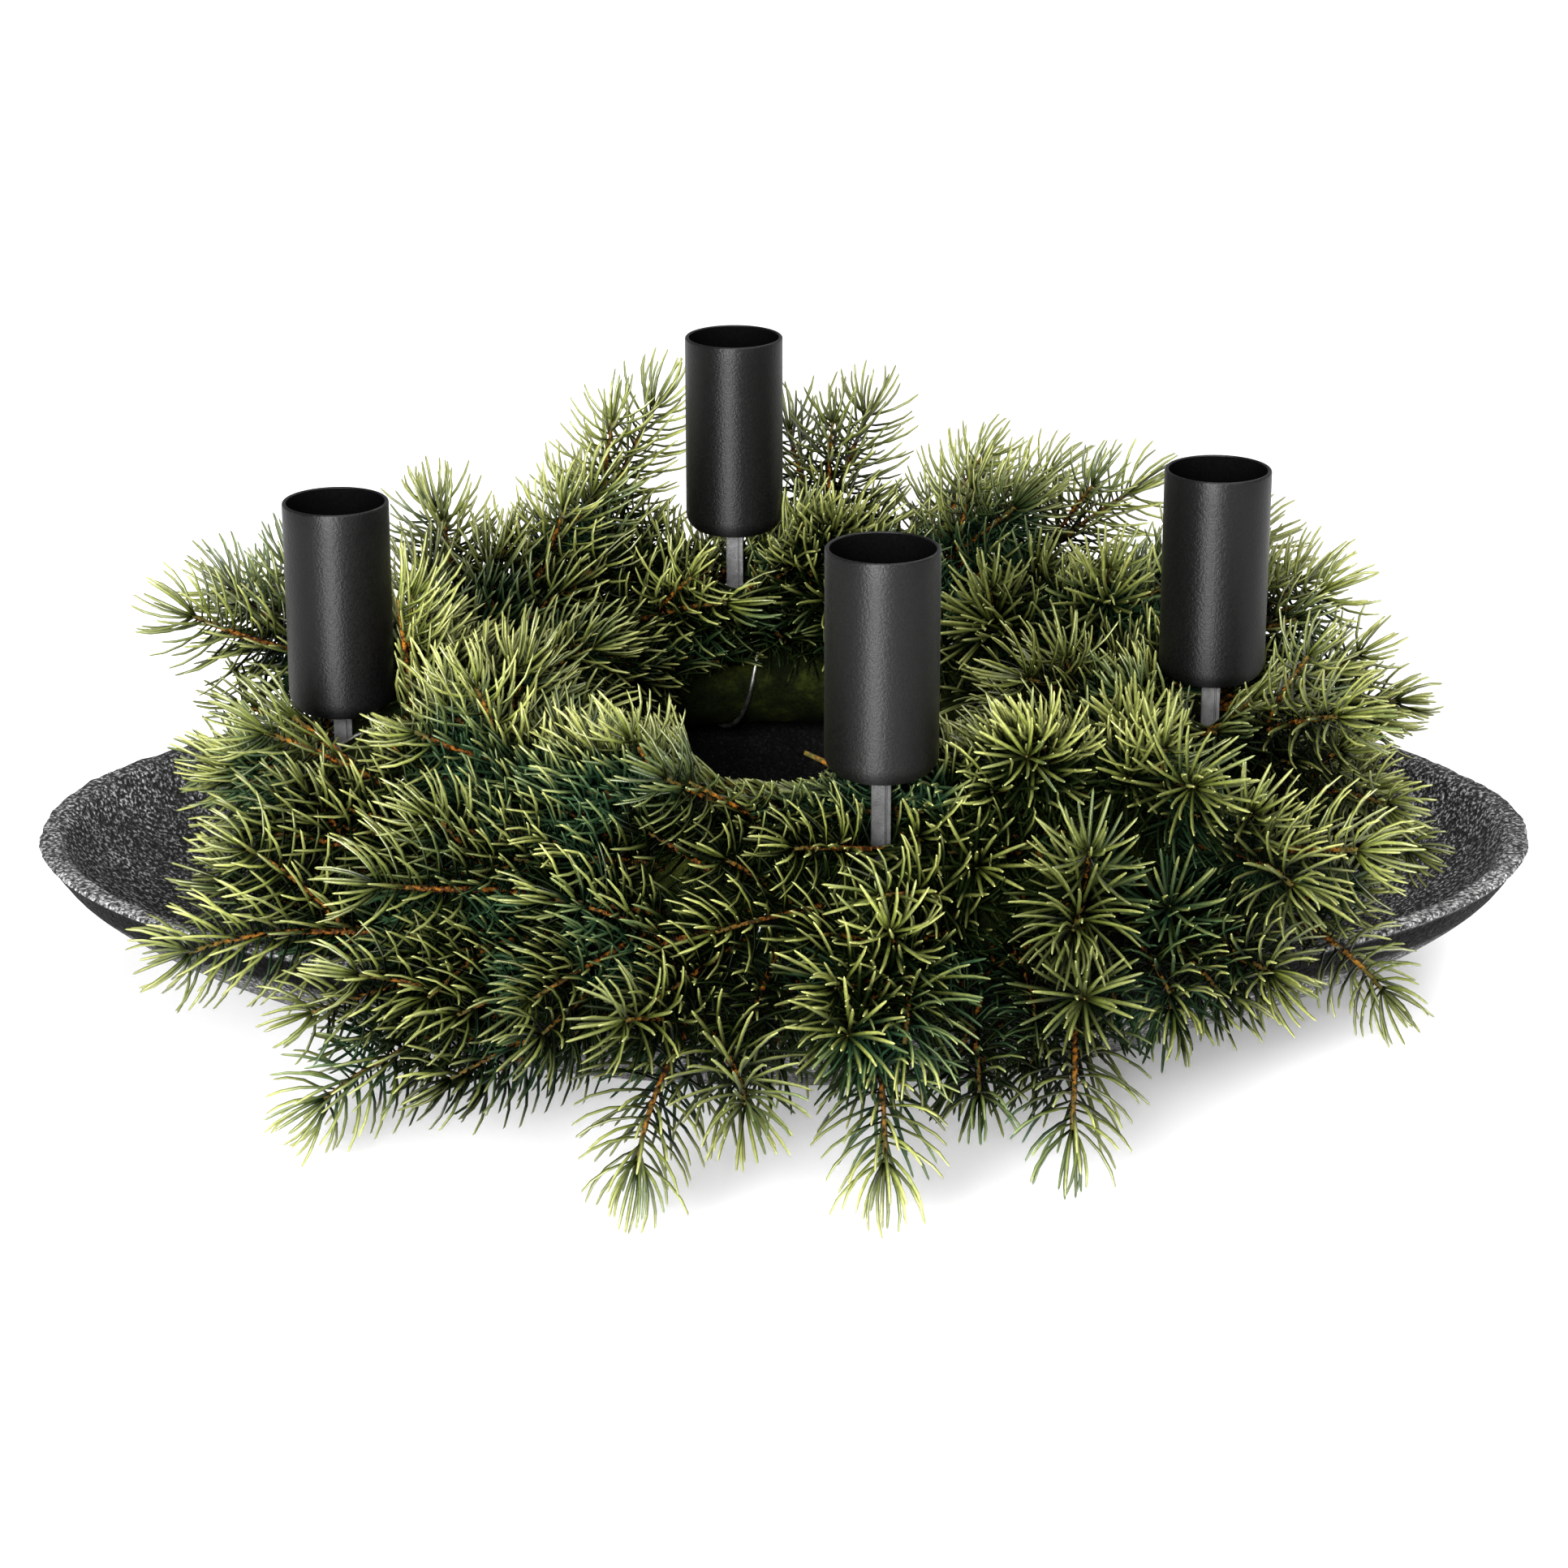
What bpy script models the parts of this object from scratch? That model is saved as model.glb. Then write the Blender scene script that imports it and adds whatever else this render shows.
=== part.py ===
"""Advent wreath on a boat-shaped cast dish: a wire-bound ring, fir sprigs and four spiked candle cups.

The numbers are in millimetres and are turned into metres where a mesh is made.
The origin is the middle of the dish's flat foot, +Z is up and the front is -Y.
"""

import math

import bmesh
import bpy
import numpy as np
from mathutils import Vector
from mathutils.bvhtree import BVHTree

MM = 0.001
UP = np.array((0.0, 0.0, 1.0))
GAP = 0.3

# Dish: half length and half width at each height, outside and inside
DISH_HEIGHT = 40.0
DISH_OUTER = (
    (0.0, 104.0, 60.0),
    (10.0, 122.0, 76.0),
    (20.0, 148.0, 91.0),
    (30.0, 165.0, 100.0),
    (40.0, 173.0, 105.0),
)
DISH_INNER = (
    (40.0, 167.5, 99.5),
    (30.0, 159.5, 94.5),
    (20.0, 142.0, 85.0),
    (11.0, 114.0, 69.0),
    (6.0, 92.0, 50.0),
)
DISH_SIDES = 40

# Binding wire: an open coil round the core
WIRE_TURNS = 18
WIRE_RADIUS = 0.5
WIRE_OFFSET = 0.8
WIRE_PHASE = 6.8
WIRE_CORNERS = ((-0.5, 0.87), (-0.5, -0.87), (1.0, 0.0))

# Core: a ring with an eight-sided oval section. Its lower outer corner and the wire there sit on the rim at
# the front and the back.
CORE_RADIUS = 86.0
CORE_HALF_WIDTH = 21.0
CORE_HALF_HEIGHT = 17.0
CORE_SEAT = GAP + WIRE_OFFSET + WIRE_RADIUS
CORE_Z = DISH_HEIGHT + CORE_SEAT + CORE_HALF_HEIGHT * math.sin(math.pi / 4)
CORE_STEPS = 36
CORE_SIDES = 8

# Candle cups and their spikes: x, y and the height of each rim
CUP_PLACES = ((-100.6, -12.0, 121.7), (-12.3, 88.0, 134.5), (20.3, -95.0, 136.0), (97.1, -12.0, 129.2))
CUP_RADIUS = 12.0
CUP_WALL = 1.0
CUP_HEIGHT = 49.0
CUP_FLOOR = 1.5
CUP_EDGE = 1.6
CUP_SIDES = 20
SPIKE_WIDTH = 4.2
SPIKE_DEPTH = 2.6
SPIKE_SHEET = 1.1
SPIKE_POINT = 9.0
SPIKE_TIP_Z = 46.0
SPIKE_HOLE_CLEARANCE = 0.45
SPIKE_HOLE_SPARE = 1.0

# Sprigs: one row at each place round the core's section. Pitch and bend are the stem's climb and its change
# of climb at the sides; the back adds lift and bend_lift to them and the front takes them off. Each sprig has
# the azimuth of its root, its sweep from straight out towards clockwise, its own tilt and its stretch.
ROWS = {
    "low": dict(
        poloidal=-22, pitch=6, lift=6, bend=-14, bend_lift=60, length=55, fork_every=2,
        sprigs=(
            (-130, 44, 6, 1.12), (-108, 62, -14, 1.4), (-97, 6, -2, 1.05), (-84, -4, -2, 1.02),
            (-74, 8, 26, 0.8), (-58, 26, -8, 1.05), (-41, 40, 4, 0.95), (-29, 14, -8, 1.0),
            (-4, 18, 0, 0.76), (30, 30, 0, 0.9), (64, 36, 0, 0.9), (102, 40, 0, 0.95), (142, 38, 0, 0.95),
        ),
    ),
    "mid": dict(
        poloidal=14, pitch=15, lift=15, bend=-14, bend_lift=24, length=50, fork_every=2,
        sprigs=(
            (-160, 32, 0, 0.56), (-139, 42, 10, 0.74), (-113, 82, 8, 0.84), (-95, 72, -14, 0.85),
            (-71, 78, -18, 1.05), (-54, 34, 16, 0.85), (-36, 26, 4, 0.95), (-14, 22, 0, 0.84),
            (12, 18, 0, 0.8), (44, 30, 0, 1.0), (78, 50, -4, 1.25), (122, 38, 0, 1.0), (162, 30, 0, 1.0),
        ),
    ),
    "upper": dict(
        poloidal=48, pitch=34, lift=15, bend=-14, bend_lift=10, length=46, fork_every=3,
        sprigs=(
            (-146, 26, 0, 0.75), (-40, 26, 6, 0.8), (-16, 28, 0, 0.95), (16, 22, 2, 0.8), (38, 20, -6, 0.95),
            (58, 24, -14, 1.0), (86, 18, 2, 1.12), (120, 62, 10, 1.25), (138, 18, 0, 0.85),
            (174, 26, -4, 1.0),
        ),
    ),
    "top": dict(
        poloidal=84, pitch=40, lift=6, bend=-24, bend_lift=6, length=36, fork_every=4,
        sprigs=(
            (-126, 80, -6, 1.0), (-98, 88, -14, 0.9), (-50, 60, -18, 0.8), (33, 112, -14, 0.9),
            (66, 92, -6, 1.0), (136, 80, 0, 1.0), (-160, 98, 6, 1.0),
        ),
    ),
    "inner": dict(
        poloidal=128, pitch=30, lift=0, bend=-18, bend_lift=0, length=30, fork_every=9,
        sprigs=(
            (-150, 124, 0, 1.0), (-68, 122, 0, 0.9), (-6, 126, 0, 1.0), (46, 134, 0, 1.0), (88, 146, 0, 0.9),
            (126, 132, -6, 1.1),
        ),
    ),
}
SEED = 24
AZIMUTH_JITTER = 1.5
ANGLE_JITTER = 4.0
LENGTH_JITTER = 0.05
ROOT_FROM_WIRE = 2.4
ROOT_GAP = GAP + 0.12
STEM_STEPS = 16
STEM_ROOT_LEAN = 0.3
STEM_ROOT_BEND = 0.35
STEM_TURN = 14.0
STEM_RADIUS = 1.1
STEM_SIDES = 5
STEM_BENDS = (0.0, 0.2, 0.45, 0.72, 1.0)
FORK_START = 0.36
FORK_ANGLE = 48.0
FORK_STRAIGHTEN = 22.0
FORK_LENGTH = 0.62
FORK_BENDS = (0.0, 0.5, 1.0)

# Needles: fewer than on the twig, at their true size, each rooted in the middle of one of the stem's facets
NEEDLES_PLAIN = 25
NEEDLES_FORKED = (15, 11)
NEEDLE_LENGTH = 15.0
NEEDLE_RADIUS = 0.47
NEEDLE_SIDES = 3
NEEDLE_START = 0.12
NEEDLE_END = 0.96
NEEDLE_ANGLE_ROOT = 62.0
NEEDLE_ANGLE_TIP = 30.0
END_NEEDLE_LENGTH = 12.0
FACET_TRIES = (0, 1, -1, 2, -2)
LEAN_TRIES = (0.0, -9.0, 9.0, -17.0)
SPACING_START = 0.12
OWN_SPACING_START = 0.25
NEEDLE_CLEARANCE = 1.2
OWN_CLEARANCE = 0.8
STEM_CLEARANCE = 2.2
WIRE_CLEARANCE = 1.4
SPIKE_CLEARANCE = 3.6
SURFACE_CLEARANCE = 0.9
TABLE_CLEARANCE = 2.0
HOLE_HALF = 31.0


def ring_axes(azimuth):
    """The outward and the clockwise direction at an azimuth in degrees."""
    a = math.radians(azimuth)
    return np.array((math.cos(a), math.sin(a), 0.0)), np.array((math.sin(a), -math.cos(a), 0.0))


def core_point(azimuth, poloidal, offset=0.0):
    """A point on the core's surface, or off it along its normal, and that normal."""
    outward, _ = ring_axes(azimuth)
    p = math.radians(poloidal)
    across = CORE_HALF_WIDTH * math.cos(p)
    above = CORE_HALF_HEIGHT * math.sin(p)
    normal = outward * (math.cos(p) / CORE_HALF_WIDTH) + UP * (math.sin(p) / CORE_HALF_HEIGHT)
    normal /= np.linalg.norm(normal)
    return outward * (CORE_RADIUS + across) + UP * (CORE_Z + above) + normal * offset, normal


def wire_azimuth(turn, poloidal):
    return WIRE_PHASE + 360.0 / WIRE_TURNS * (turn + poloidal / 360.0)


def clear_of_wire(azimuth, poloidal):
    """The azimuth, moved along the ring where a root would stand on the wire."""
    pitch = 360.0 / WIRE_TURNS
    off = (azimuth - wire_azimuth(0, poloidal) + pitch / 2) % pitch - pitch / 2
    if abs(off) >= ROOT_FROM_WIRE:
        return azimuth
    return azimuth + math.copysign(ROOT_FROM_WIRE, off) - off


def unit(vector):
    return vector / np.linalg.norm(vector)


def fork_side(index, sweep):
    """Outwards on a sprig that lies along the ring, and otherwise to either side in turn."""
    return -1 if sweep > 60 or index % 4 else 1


def sprig_list():
    """Every sprig's name, angles and length, worked out row by row."""
    draw = np.random.default_rng(SEED)
    sprigs = []
    for row, rule in ROWS.items():
        for index, (azimuth, sweep, tilt, stretch) in enumerate(rule["sprigs"]):
            jitter = draw.uniform(-1.0, 1.0, 4)
            azimuth = clear_of_wire(azimuth + AZIMUTH_JITTER * jitter[0], rule["poloidal"])
            back = math.sin(math.radians(azimuth))
            back *= abs(back)
            sprigs.append(
                dict(
                    name=f"sprig_{row}_{index + 1:02d}",
                    azimuth=azimuth,
                    poloidal=rule["poloidal"],
                    sweep=sweep + ANGLE_JITTER * jitter[1],
                    pitch=rule["pitch"] + rule["lift"] * back + tilt + ANGLE_JITTER * jitter[2],
                    bend=(rule["bend"] + rule["bend_lift"] * back) * abs(math.cos(math.radians(sweep))),
                    length=rule["length"] * stretch * (1.0 + LENGTH_JITTER * jitter[3]),
                    fork=fork_side(index, sweep) if index % rule["fork_every"] == 0 else 0,
                )
            )
    return sprigs


def stem_path(sprig):
    """Points from the core's surface to the tip: out along the normal, then round to the sprig's aim."""
    outward, clockwise = ring_axes(sprig["azimuth"])
    root, normal = core_point(sprig["azimuth"], sprig["poloidal"])
    points = [root]
    for step in range(STEM_STEPS):
        t = (step + 0.5) / STEM_STEPS
        pitch = math.radians(sprig["pitch"] + sprig["bend"] * t**2)
        sweep = math.radians(sprig["sweep"] + STEM_TURN * t)
        level = outward * math.cos(sweep) + clockwise * math.sin(sweep)
        aim = level * math.cos(pitch) + UP * math.sin(pitch)
        lean = min(1.0, STEM_ROOT_LEAN + t / STEM_ROOT_BEND)
        heading = unit(normal * (1.0 - lean) + aim * lean)
        points.append(points[-1] + heading * sprig["length"] / STEM_STEPS)
    return np.array(points)


def along(path, t):
    """The point at a share of a path, and the path's direction there."""
    place = min(max(t, 0.0), 1.0) * (len(path) - 1)
    i = min(int(place), len(path) - 2)
    return path[i] + (path[i + 1] - path[i]) * (place - i), unit(path[i + 1] - path[i])


def fork_path(sprig, path):
    """Points of the side twig, which leaves the stem on one side and straightens beside it."""
    start, direction = along(path, FORK_START)
    side = unit(np.cross(direction, UP)) * sprig["fork"]
    points = [start]
    for step in range(STEM_STEPS):
        t = (step + 0.5) / STEM_STEPS
        angle = math.radians(FORK_ANGLE - FORK_STRAIGHTEN * t)
        aim = direction * math.cos(angle) + side * math.sin(angle)
        points.append(points[-1] + aim * sprig["length"] * FORK_LENGTH / STEM_STEPS)
    return np.array(points)


def segment_distances(start, end, starts, ends):
    """The least distance from one segment to each of many."""
    if not len(starts):
        return np.array([math.inf])
    u, v, w = end - start, ends - starts, start - starts
    a, b, c = u @ u, v @ u, np.einsum("ij,ij->i", v, v)
    d, e = w @ u, np.einsum("ij,ij->i", v, w)
    span = np.maximum(a * c - b * b, 1e-12)
    s = np.clip((b * e - c * d) / span, 0.0, 1.0)
    t = np.clip((b * s + e) / np.maximum(c, 1e-12), 0.0, 1.0)
    s = np.clip((b * t - d) / max(a, 1e-12), 0.0, 1.0)
    return np.linalg.norm(w + s[:, None] * u - t[:, None] * v, axis=1)


def half_axes(profile, z):
    """The dish's half length and half width at a height."""
    rows = np.array(sorted(profile))
    return np.interp(z, rows[:, 0], rows[:, 1]), np.interp(z, rows[:, 0], rows[:, 2])


def hits_dish(point, clearance):
    x, y, z = point
    if z > DISH_HEIGHT + clearance:
        return False
    a, b = half_axes(DISH_OUTER, z)
    if (x / (a + clearance)) ** 2 + (y / (b + clearance)) ** 2 > 1.0:
        return False
    a, b = half_axes(DISH_INNER, z)
    floor = DISH_INNER[-1][0]
    return z < floor + clearance or (x / (a - clearance)) ** 2 + (y / (b - clearance)) ** 2 > 1.0


def hits_core(point, clearance):
    across = (math.hypot(point[0], point[1]) - CORE_RADIUS) / (CORE_HALF_WIDTH + clearance)
    return across**2 + ((point[2] - CORE_Z) / (CORE_HALF_HEIGHT + clearance)) ** 2 < 1.0


def hits_cup(point, clearance):
    for x, y, rim in CUP_PLACES:
        near = math.hypot(point[0] - x, point[1] - y) < CUP_RADIUS + clearance
        if near and point[2] > rim - CUP_HEIGHT - clearance:
            return True
    return False


def in_hole(point):
    return abs(point[0]) < HOLE_HALF and abs(point[1]) < HOLE_HALF


def wire_path():
    """The coil's points, over the corners of the core's section."""
    step = 360.0 / CORE_SIDES
    angles = [i * step for i in range(WIRE_TURNS * CORE_SIDES)]
    return np.array([core_point(wire_azimuth(0, angle), angle, WIRE_OFFSET)[0] for angle in angles])


class Obstacles:
    """What a needle keeps clear of: other needles, stems, the wire and the spikes as segments."""

    def __init__(self):
        self.starts = np.zeros((0, 3))
        self.ends = np.zeros((0, 3))
        self.room = np.zeros(0)
        self.owner = np.zeros(0, int)

    def add(self, starts, ends, room, owner):
        self.starts = np.concatenate([self.starts, starts])
        self.ends = np.concatenate([self.ends, ends])
        self.room = np.concatenate([self.room, np.full(len(starts), room)])
        self.owner = np.concatenate([self.owner, np.full(len(starts), owner)])

    def clear(self, start, end, owner):
        others = self.owner != owner
        distances = segment_distances(start, end, self.starts[others], self.ends[others])
        return bool((distances > self.room[others]).all()) if others.any() else True

    def clear_of_own(self, start, end, owner, room):
        mine = (self.owner == owner) & (self.room == NEEDLE_CLEARANCE)
        if not mine.any():
            return True
        starts = self.starts[mine] + (self.ends[mine] - self.starts[mine]) * OWN_SPACING_START
        return bool((segment_distances(start, end, starts, self.ends[mine]) > room).all())


def clear_of_solids(start, end):
    for share in np.linspace(0.0, 1.0, 9):
        point = start + (end - start) * share
        if point[2] < TABLE_CLEARANCE or in_hole(point):
            return False
        if hits_dish(point, SURFACE_CLEARANCE) or hits_cup(point, SURFACE_CLEARANCE):
            return False
        if share > SPACING_START and hits_core(point, SURFACE_CLEARANCE):
            return False
    return True


class Stem:
    """A stem's straight runs as mitred prisms of one section, so that each of its facets is flat."""

    def __init__(self, path, bends, foot=None, foot_normal=None):
        self.bends = bends
        self.points = [along(path, share)[0] for share in bends]
        if foot is not None:
            self.points[0] = foot
        self.runs = [unit(b - a) for a, b in zip(self.points, self.points[1:])]
        side = unit(np.cross(self.runs[0], UP + 0.01))
        above = np.cross(side, self.runs[0])
        ring = [self.points[0] + spoke * STEM_RADIUS for spoke in spokes(side, above, STEM_SIDES)]
        start_normal = self.runs[0] if foot_normal is None else foot_normal
        self.rings = [slide(ring, self.runs[0], self.points[0], start_normal)]
        for i, run in enumerate(self.runs):
            after = self.runs[min(i + 1, len(self.runs) - 1)]
            self.rings.append(slide(self.rings[-1], run, self.points[i + 1], unit(run + after)))
        self.tip = self.points[-1] + self.runs[-1] * END_NEEDLE_LENGTH

    def at(self, share, facet):
        """The stem's middle at a share of its length, its direction, and where one of its facets looks."""
        run = min(int(np.searchsorted(self.bends, share, side="right")) - 1, len(self.runs) - 1)
        part = (share - self.bends[run]) / (self.bends[run + 1] - self.bends[run])
        point = self.points[run] + (self.points[run + 1] - self.points[run]) * part
        ring = self.rings[run + 1]
        middle = (ring[facet % STEM_SIDES] + ring[(facet + 1) % STEM_SIDES]) / 2 - self.points[run + 1]
        direction = self.runs[run]
        return point, direction, unit(middle - direction * (middle @ direction))

    def mesh(self):
        bm = bmesh.new()
        rings = [[bm.verts.new(corner) for corner in ring] for ring in self.rings]
        bridge(bm, rings)
        bm.faces.new(rings[0])
        add_point(bm, rings[-1], self.tip)
        return bm


def spokes(side, above, count):
    """Directions evenly spaced round a stem or a needle, from its own side and above."""
    angles = [2.0 * math.pi * i / count for i in range(count)]
    return [side * math.cos(a) + above * math.sin(a) for a in angles]


def slide(ring, direction, point, normal):
    """A ring's corners moved along a direction onto the plane through a point."""
    return [corner + direction * (((point - corner) @ normal) / (direction @ normal)) for corner in ring]


def grow_needles(stem, count, owner, obstacles):
    """Needles up the stem, two facets on each time, each moved to another facet or lean until it's clear."""
    needles = []
    for index in range(count):
        t = NEEDLE_START + (NEEDLE_END - NEEDLE_START) * index / (count - 1)
        lean = NEEDLE_ANGLE_ROOT + (NEEDLE_ANGLE_TIP - NEEDLE_ANGLE_ROOT) * t**2
        length = NEEDLE_LENGTH * (1.0 - 0.22 * abs(2.0 * t - 1.1))
        for change in LEAN_TRIES:
            tilt = math.radians(lean + change)
            for shift in FACET_TRIES:
                base, direction, outward = stem.at(t, 2 * index + shift)
                tip = base + (direction * math.cos(tilt) + outward * math.sin(tilt)) * length
                if needle_is_clear(base, tip, owner, obstacles):
                    break
            else:
                continue
            obstacles.add(base[None], tip[None], NEEDLE_CLEARANCE, owner)
            needles.append((base, tip))
            break
    return needles


def needle_is_clear(base, tip, owner, obstacles):
    """Whether a needle is free of everything but the stem that it grows from."""
    outer = base + (tip - base) * SPACING_START
    return (
        clear_of_solids(outer, tip)
        and obstacles.clear(base, tip, owner)
        and obstacles.clear_of_own(outer, tip, owner, OWN_CLEARANCE)
    )


def material(name, colour, roughness, metallic=0.0):
    made = bpy.data.materials.new(name)
    made.use_nodes = True
    shader = made.node_tree.nodes["Principled BSDF"]
    shader.inputs["Base Color"].default_value = (*colour, 1.0)
    shader.inputs["Roughness"].default_value = roughness
    shader.inputs["Metallic"].default_value = metallic
    return made


def add_object(name, bm, made, smooth=True):
    """A mesh object from a bmesh in millimetres."""
    bmesh.ops.recalc_face_normals(bm, faces=bm.faces)
    bmesh.ops.scale(bm, vec=(MM, MM, MM), verts=bm.verts)
    mesh = bpy.data.meshes.new(name)
    bm.to_mesh(mesh)
    bm.free()
    if smooth:
        mesh.shade_smooth()
        mesh.set_sharp_from_angle(angle=math.radians(40))
    mesh.materials.append(made)
    obj = bpy.data.objects.new(name, mesh)
    bpy.context.scene.collection.objects.link(obj)
    return obj


def bridge(bm, rings, closed=False):
    """Faces between each ring of vertices and the next."""
    pairs = list(zip(rings, rings[1:]))
    if closed:
        pairs.append((rings[-1], rings[0]))
    for first, second in pairs:
        count = len(first)
        for i in range(count):
            j = (i + 1) % count
            bm.faces.new((first[i], first[j], second[j], second[i]))


def oval_ring(bm, z, a, b, sides):
    angles = [2.0 * math.pi * i / sides for i in range(sides)]
    return [bm.verts.new((a * math.cos(t), b * math.sin(t), z)) for t in angles]


def add_dish(made):
    bm = bmesh.new()
    rings = [oval_ring(bm, z, a, b, DISH_SIDES) for z, a, b in DISH_OUTER + DISH_INNER]
    bridge(bm, rings)
    bm.faces.new(rings[0])
    bm.faces.new(rings[-1])
    add_object("dish", bm, made)


def spike_profile():
    """The folded strip's L section: a wide leaf facing the front and a narrow one turned back."""
    x, y = SPIKE_WIDTH / 2, SPIKE_DEPTH / 2
    inner_x, inner_y = x - SPIKE_SHEET, SPIKE_SHEET - y
    return ((-x, -y), (x, -y), (x, y), (inner_x, y), (inner_x, inner_y), (-x, inner_y))


def add_spike(index, place, made):
    x, y, rim = place
    top = rim - CUP_HEIGHT - GAP
    heights = (top, SPIKE_TIP_Z + SPIKE_POINT)
    bm = bmesh.new()
    rings = [[bm.verts.new((x + u, y + v, z)) for u, v in spike_profile()] for z in heights]
    bridge(bm, rings)
    bm.faces.new(rings[0])
    add_point(bm, rings[1], (x + SPIKE_WIDTH / 4, y + (SPIKE_SHEET - SPIKE_DEPTH) / 2, SPIKE_TIP_Z))
    add_object(f"spike_{index}", bm, made, smooth=False)


def add_spike_hole(core, place, made):
    """A plain slot in the core, a little wider and deeper than the spike that stands in it."""
    x, y, _ = place
    half_x = SPIKE_WIDTH / 2 + SPIKE_HOLE_CLEARANCE
    half_y = SPIKE_DEPTH / 2 + SPIKE_HOLE_CLEARANCE
    heights = (SPIKE_TIP_Z - SPIKE_HOLE_SPARE, CORE_Z + CORE_HALF_HEIGHT + SPIKE_HOLE_SPARE)
    bm = bmesh.new()
    corners = ((-half_x, -half_y), (half_x, -half_y), (half_x, half_y), (-half_x, half_y))
    rings = [[bm.verts.new((x + u, y + v, z)) for u, v in corners] for z in heights]
    bridge(bm, rings)
    for ring in rings:
        bm.faces.new(ring)
    cutter = add_object(f"{core.name}_cutter", bm, made, smooth=False)
    apply_boolean(core, "DIFFERENCE", "EXACT", cutter=cutter)
    bpy.data.objects.remove(cutter)


def apply_boolean(obj, operation, solver, cutter=None, pieces=None):
    """The object's mesh replaced by what a Boolean with one cutter or with a collection makes of it."""
    modifier = obj.modifiers.new("join", "BOOLEAN")
    modifier.operation = operation
    modifier.solver = solver
    if cutter:
        modifier.object = cutter
    else:
        modifier.operand_type = "COLLECTION"
        modifier.collection = pieces
    bpy.context.view_layer.update()
    graph = bpy.context.evaluated_depsgraph_get()
    joined = bpy.data.meshes.new_from_object(obj.evaluated_get(graph))
    obj.modifiers.clear()
    obj.data = joined


def add_core(made):
    """The ring with the four slots cut in it. Gives its surface as it was before the slots."""
    bm = bmesh.new()
    rings = []
    for i in range(CORE_STEPS):
        azimuth = 360.0 * i / CORE_STEPS
        sides = [360.0 * j / CORE_SIDES for j in range(CORE_SIDES)]
        rings.append([bm.verts.new(core_point(azimuth, poloidal)[0]) for poloidal in sides])
    bridge(bm, rings, closed=True)
    core = add_object("wreath_core", bm, made)
    surface = BVHTree.FromObject(core, bpy.context.evaluated_depsgraph_get())
    for place in CUP_PLACES:
        add_spike_hole(core, place, made)
    return surface


def add_wire(made):
    """Three-sided wire, each corner set by the core's own normal, so that it doesn't twist."""
    path = wire_path()
    bm = bmesh.new()
    rings = []
    step = 360.0 / CORE_SIDES
    for i, point in enumerate(path):
        _, normal = core_point(wire_azimuth(0, i * step), i * step)
        forward = unit(path[min(i + 1, len(path) - 1)] - path[max(i - 1, 0)])
        side = unit(np.cross(forward, normal))
        corners = [point + (normal * u + side * v) * WIRE_RADIUS for u, v in WIRE_CORNERS]
        rings.append([bm.verts.new(corner) for corner in corners])
    bridge(bm, rings)
    bm.faces.new(rings[0])
    bm.faces.new(rings[-1])
    add_object("binding_wire", bm, made)


def add_cup(index, place, made):
    x, y, rim = place
    bottom = rim - CUP_HEIGHT
    inner = CUP_RADIUS - CUP_WALL
    profile = (
        (CUP_RADIUS - CUP_EDGE, bottom),
        (CUP_RADIUS, bottom + CUP_EDGE),
        (CUP_RADIUS, rim),
        (inner, rim),
        (inner, bottom + CUP_FLOOR),
    )
    bm = bmesh.new()
    rings = [oval_ring(bm, z, radius, radius, CUP_SIDES) for radius, z in profile]
    for ring in rings:
        bmesh.ops.translate(bm, vec=(x, y, 0.0), verts=ring)
    bridge(bm, rings)
    bm.faces.new(rings[0])
    bm.faces.new(rings[-1])
    add_object(f"candle_cup_{index}", bm, made)


def root_on_core(sprig, surface):
    """The middle of the stem's foot, just off the flat facet that it stands on."""
    point, normal = core_point(sprig["azimuth"], sprig["poloidal"], 3.0)
    hit = surface.ray_cast(Vector(point * MM), Vector(-normal))[0]
    return np.array(hit) / MM + normal * ROOT_GAP


def needle_mesh(base, tip):
    """A three-sided needle from the stem's middle to its point."""
    direction = unit(tip - base)
    side = unit(np.cross(direction, UP + 0.01))
    above = np.cross(side, direction)
    bm = bmesh.new()
    foot = [bm.verts.new(base + spoke * NEEDLE_RADIUS) for spoke in spokes(side, above, NEEDLE_SIDES)]
    bm.faces.new(foot)
    add_point(bm, foot, tip)
    return bm


def add_point(bm, ring, tip):
    """Faces from a ring of vertices to one point."""
    point = bm.verts.new(tip)
    for i, corner in enumerate(ring):
        bm.faces.new((corner, ring[(i + 1) % len(ring)], point))


def add_sprig(name, stem, fork, needles, made):
    """The stem with its side twig and needles joined to it as one body."""
    obj = add_object(name, stem.mesh(), made)
    pieces = [needle_mesh(base, tip) for base, tip in needles]
    if fork is not None:
        pieces.append(fork.mesh())
    collection = bpy.data.collections.new(f"{name}_repeats")
    bpy.context.scene.collection.children.link(collection)
    for bm in pieces:
        piece = add_object("repeat", bm, made, smooth=False)
        bpy.context.scene.collection.objects.unlink(piece)
        collection.objects.link(piece)
    apply_boolean(obj, "UNION", "MANIFOLD", pieces=collection)
    for piece in list(collection.objects):
        bpy.data.objects.remove(piece)
    bpy.data.collections.remove(collection)


def fixed_obstacles():
    """The wire and the spikes, which the sprigs keep clear of."""
    obstacles = Obstacles()
    wire = wire_path()
    obstacles.add(wire[:-1], wire[1:], WIRE_CLEARANCE, -1)
    for x, y, rim in CUP_PLACES:
        low = np.array([(x, y, CORE_Z)])
        high = np.array([(x, y, rim - CUP_HEIGHT)])
        obstacles.add(low, high, SPIKE_CLEARANCE, -1)
    return obstacles


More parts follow.
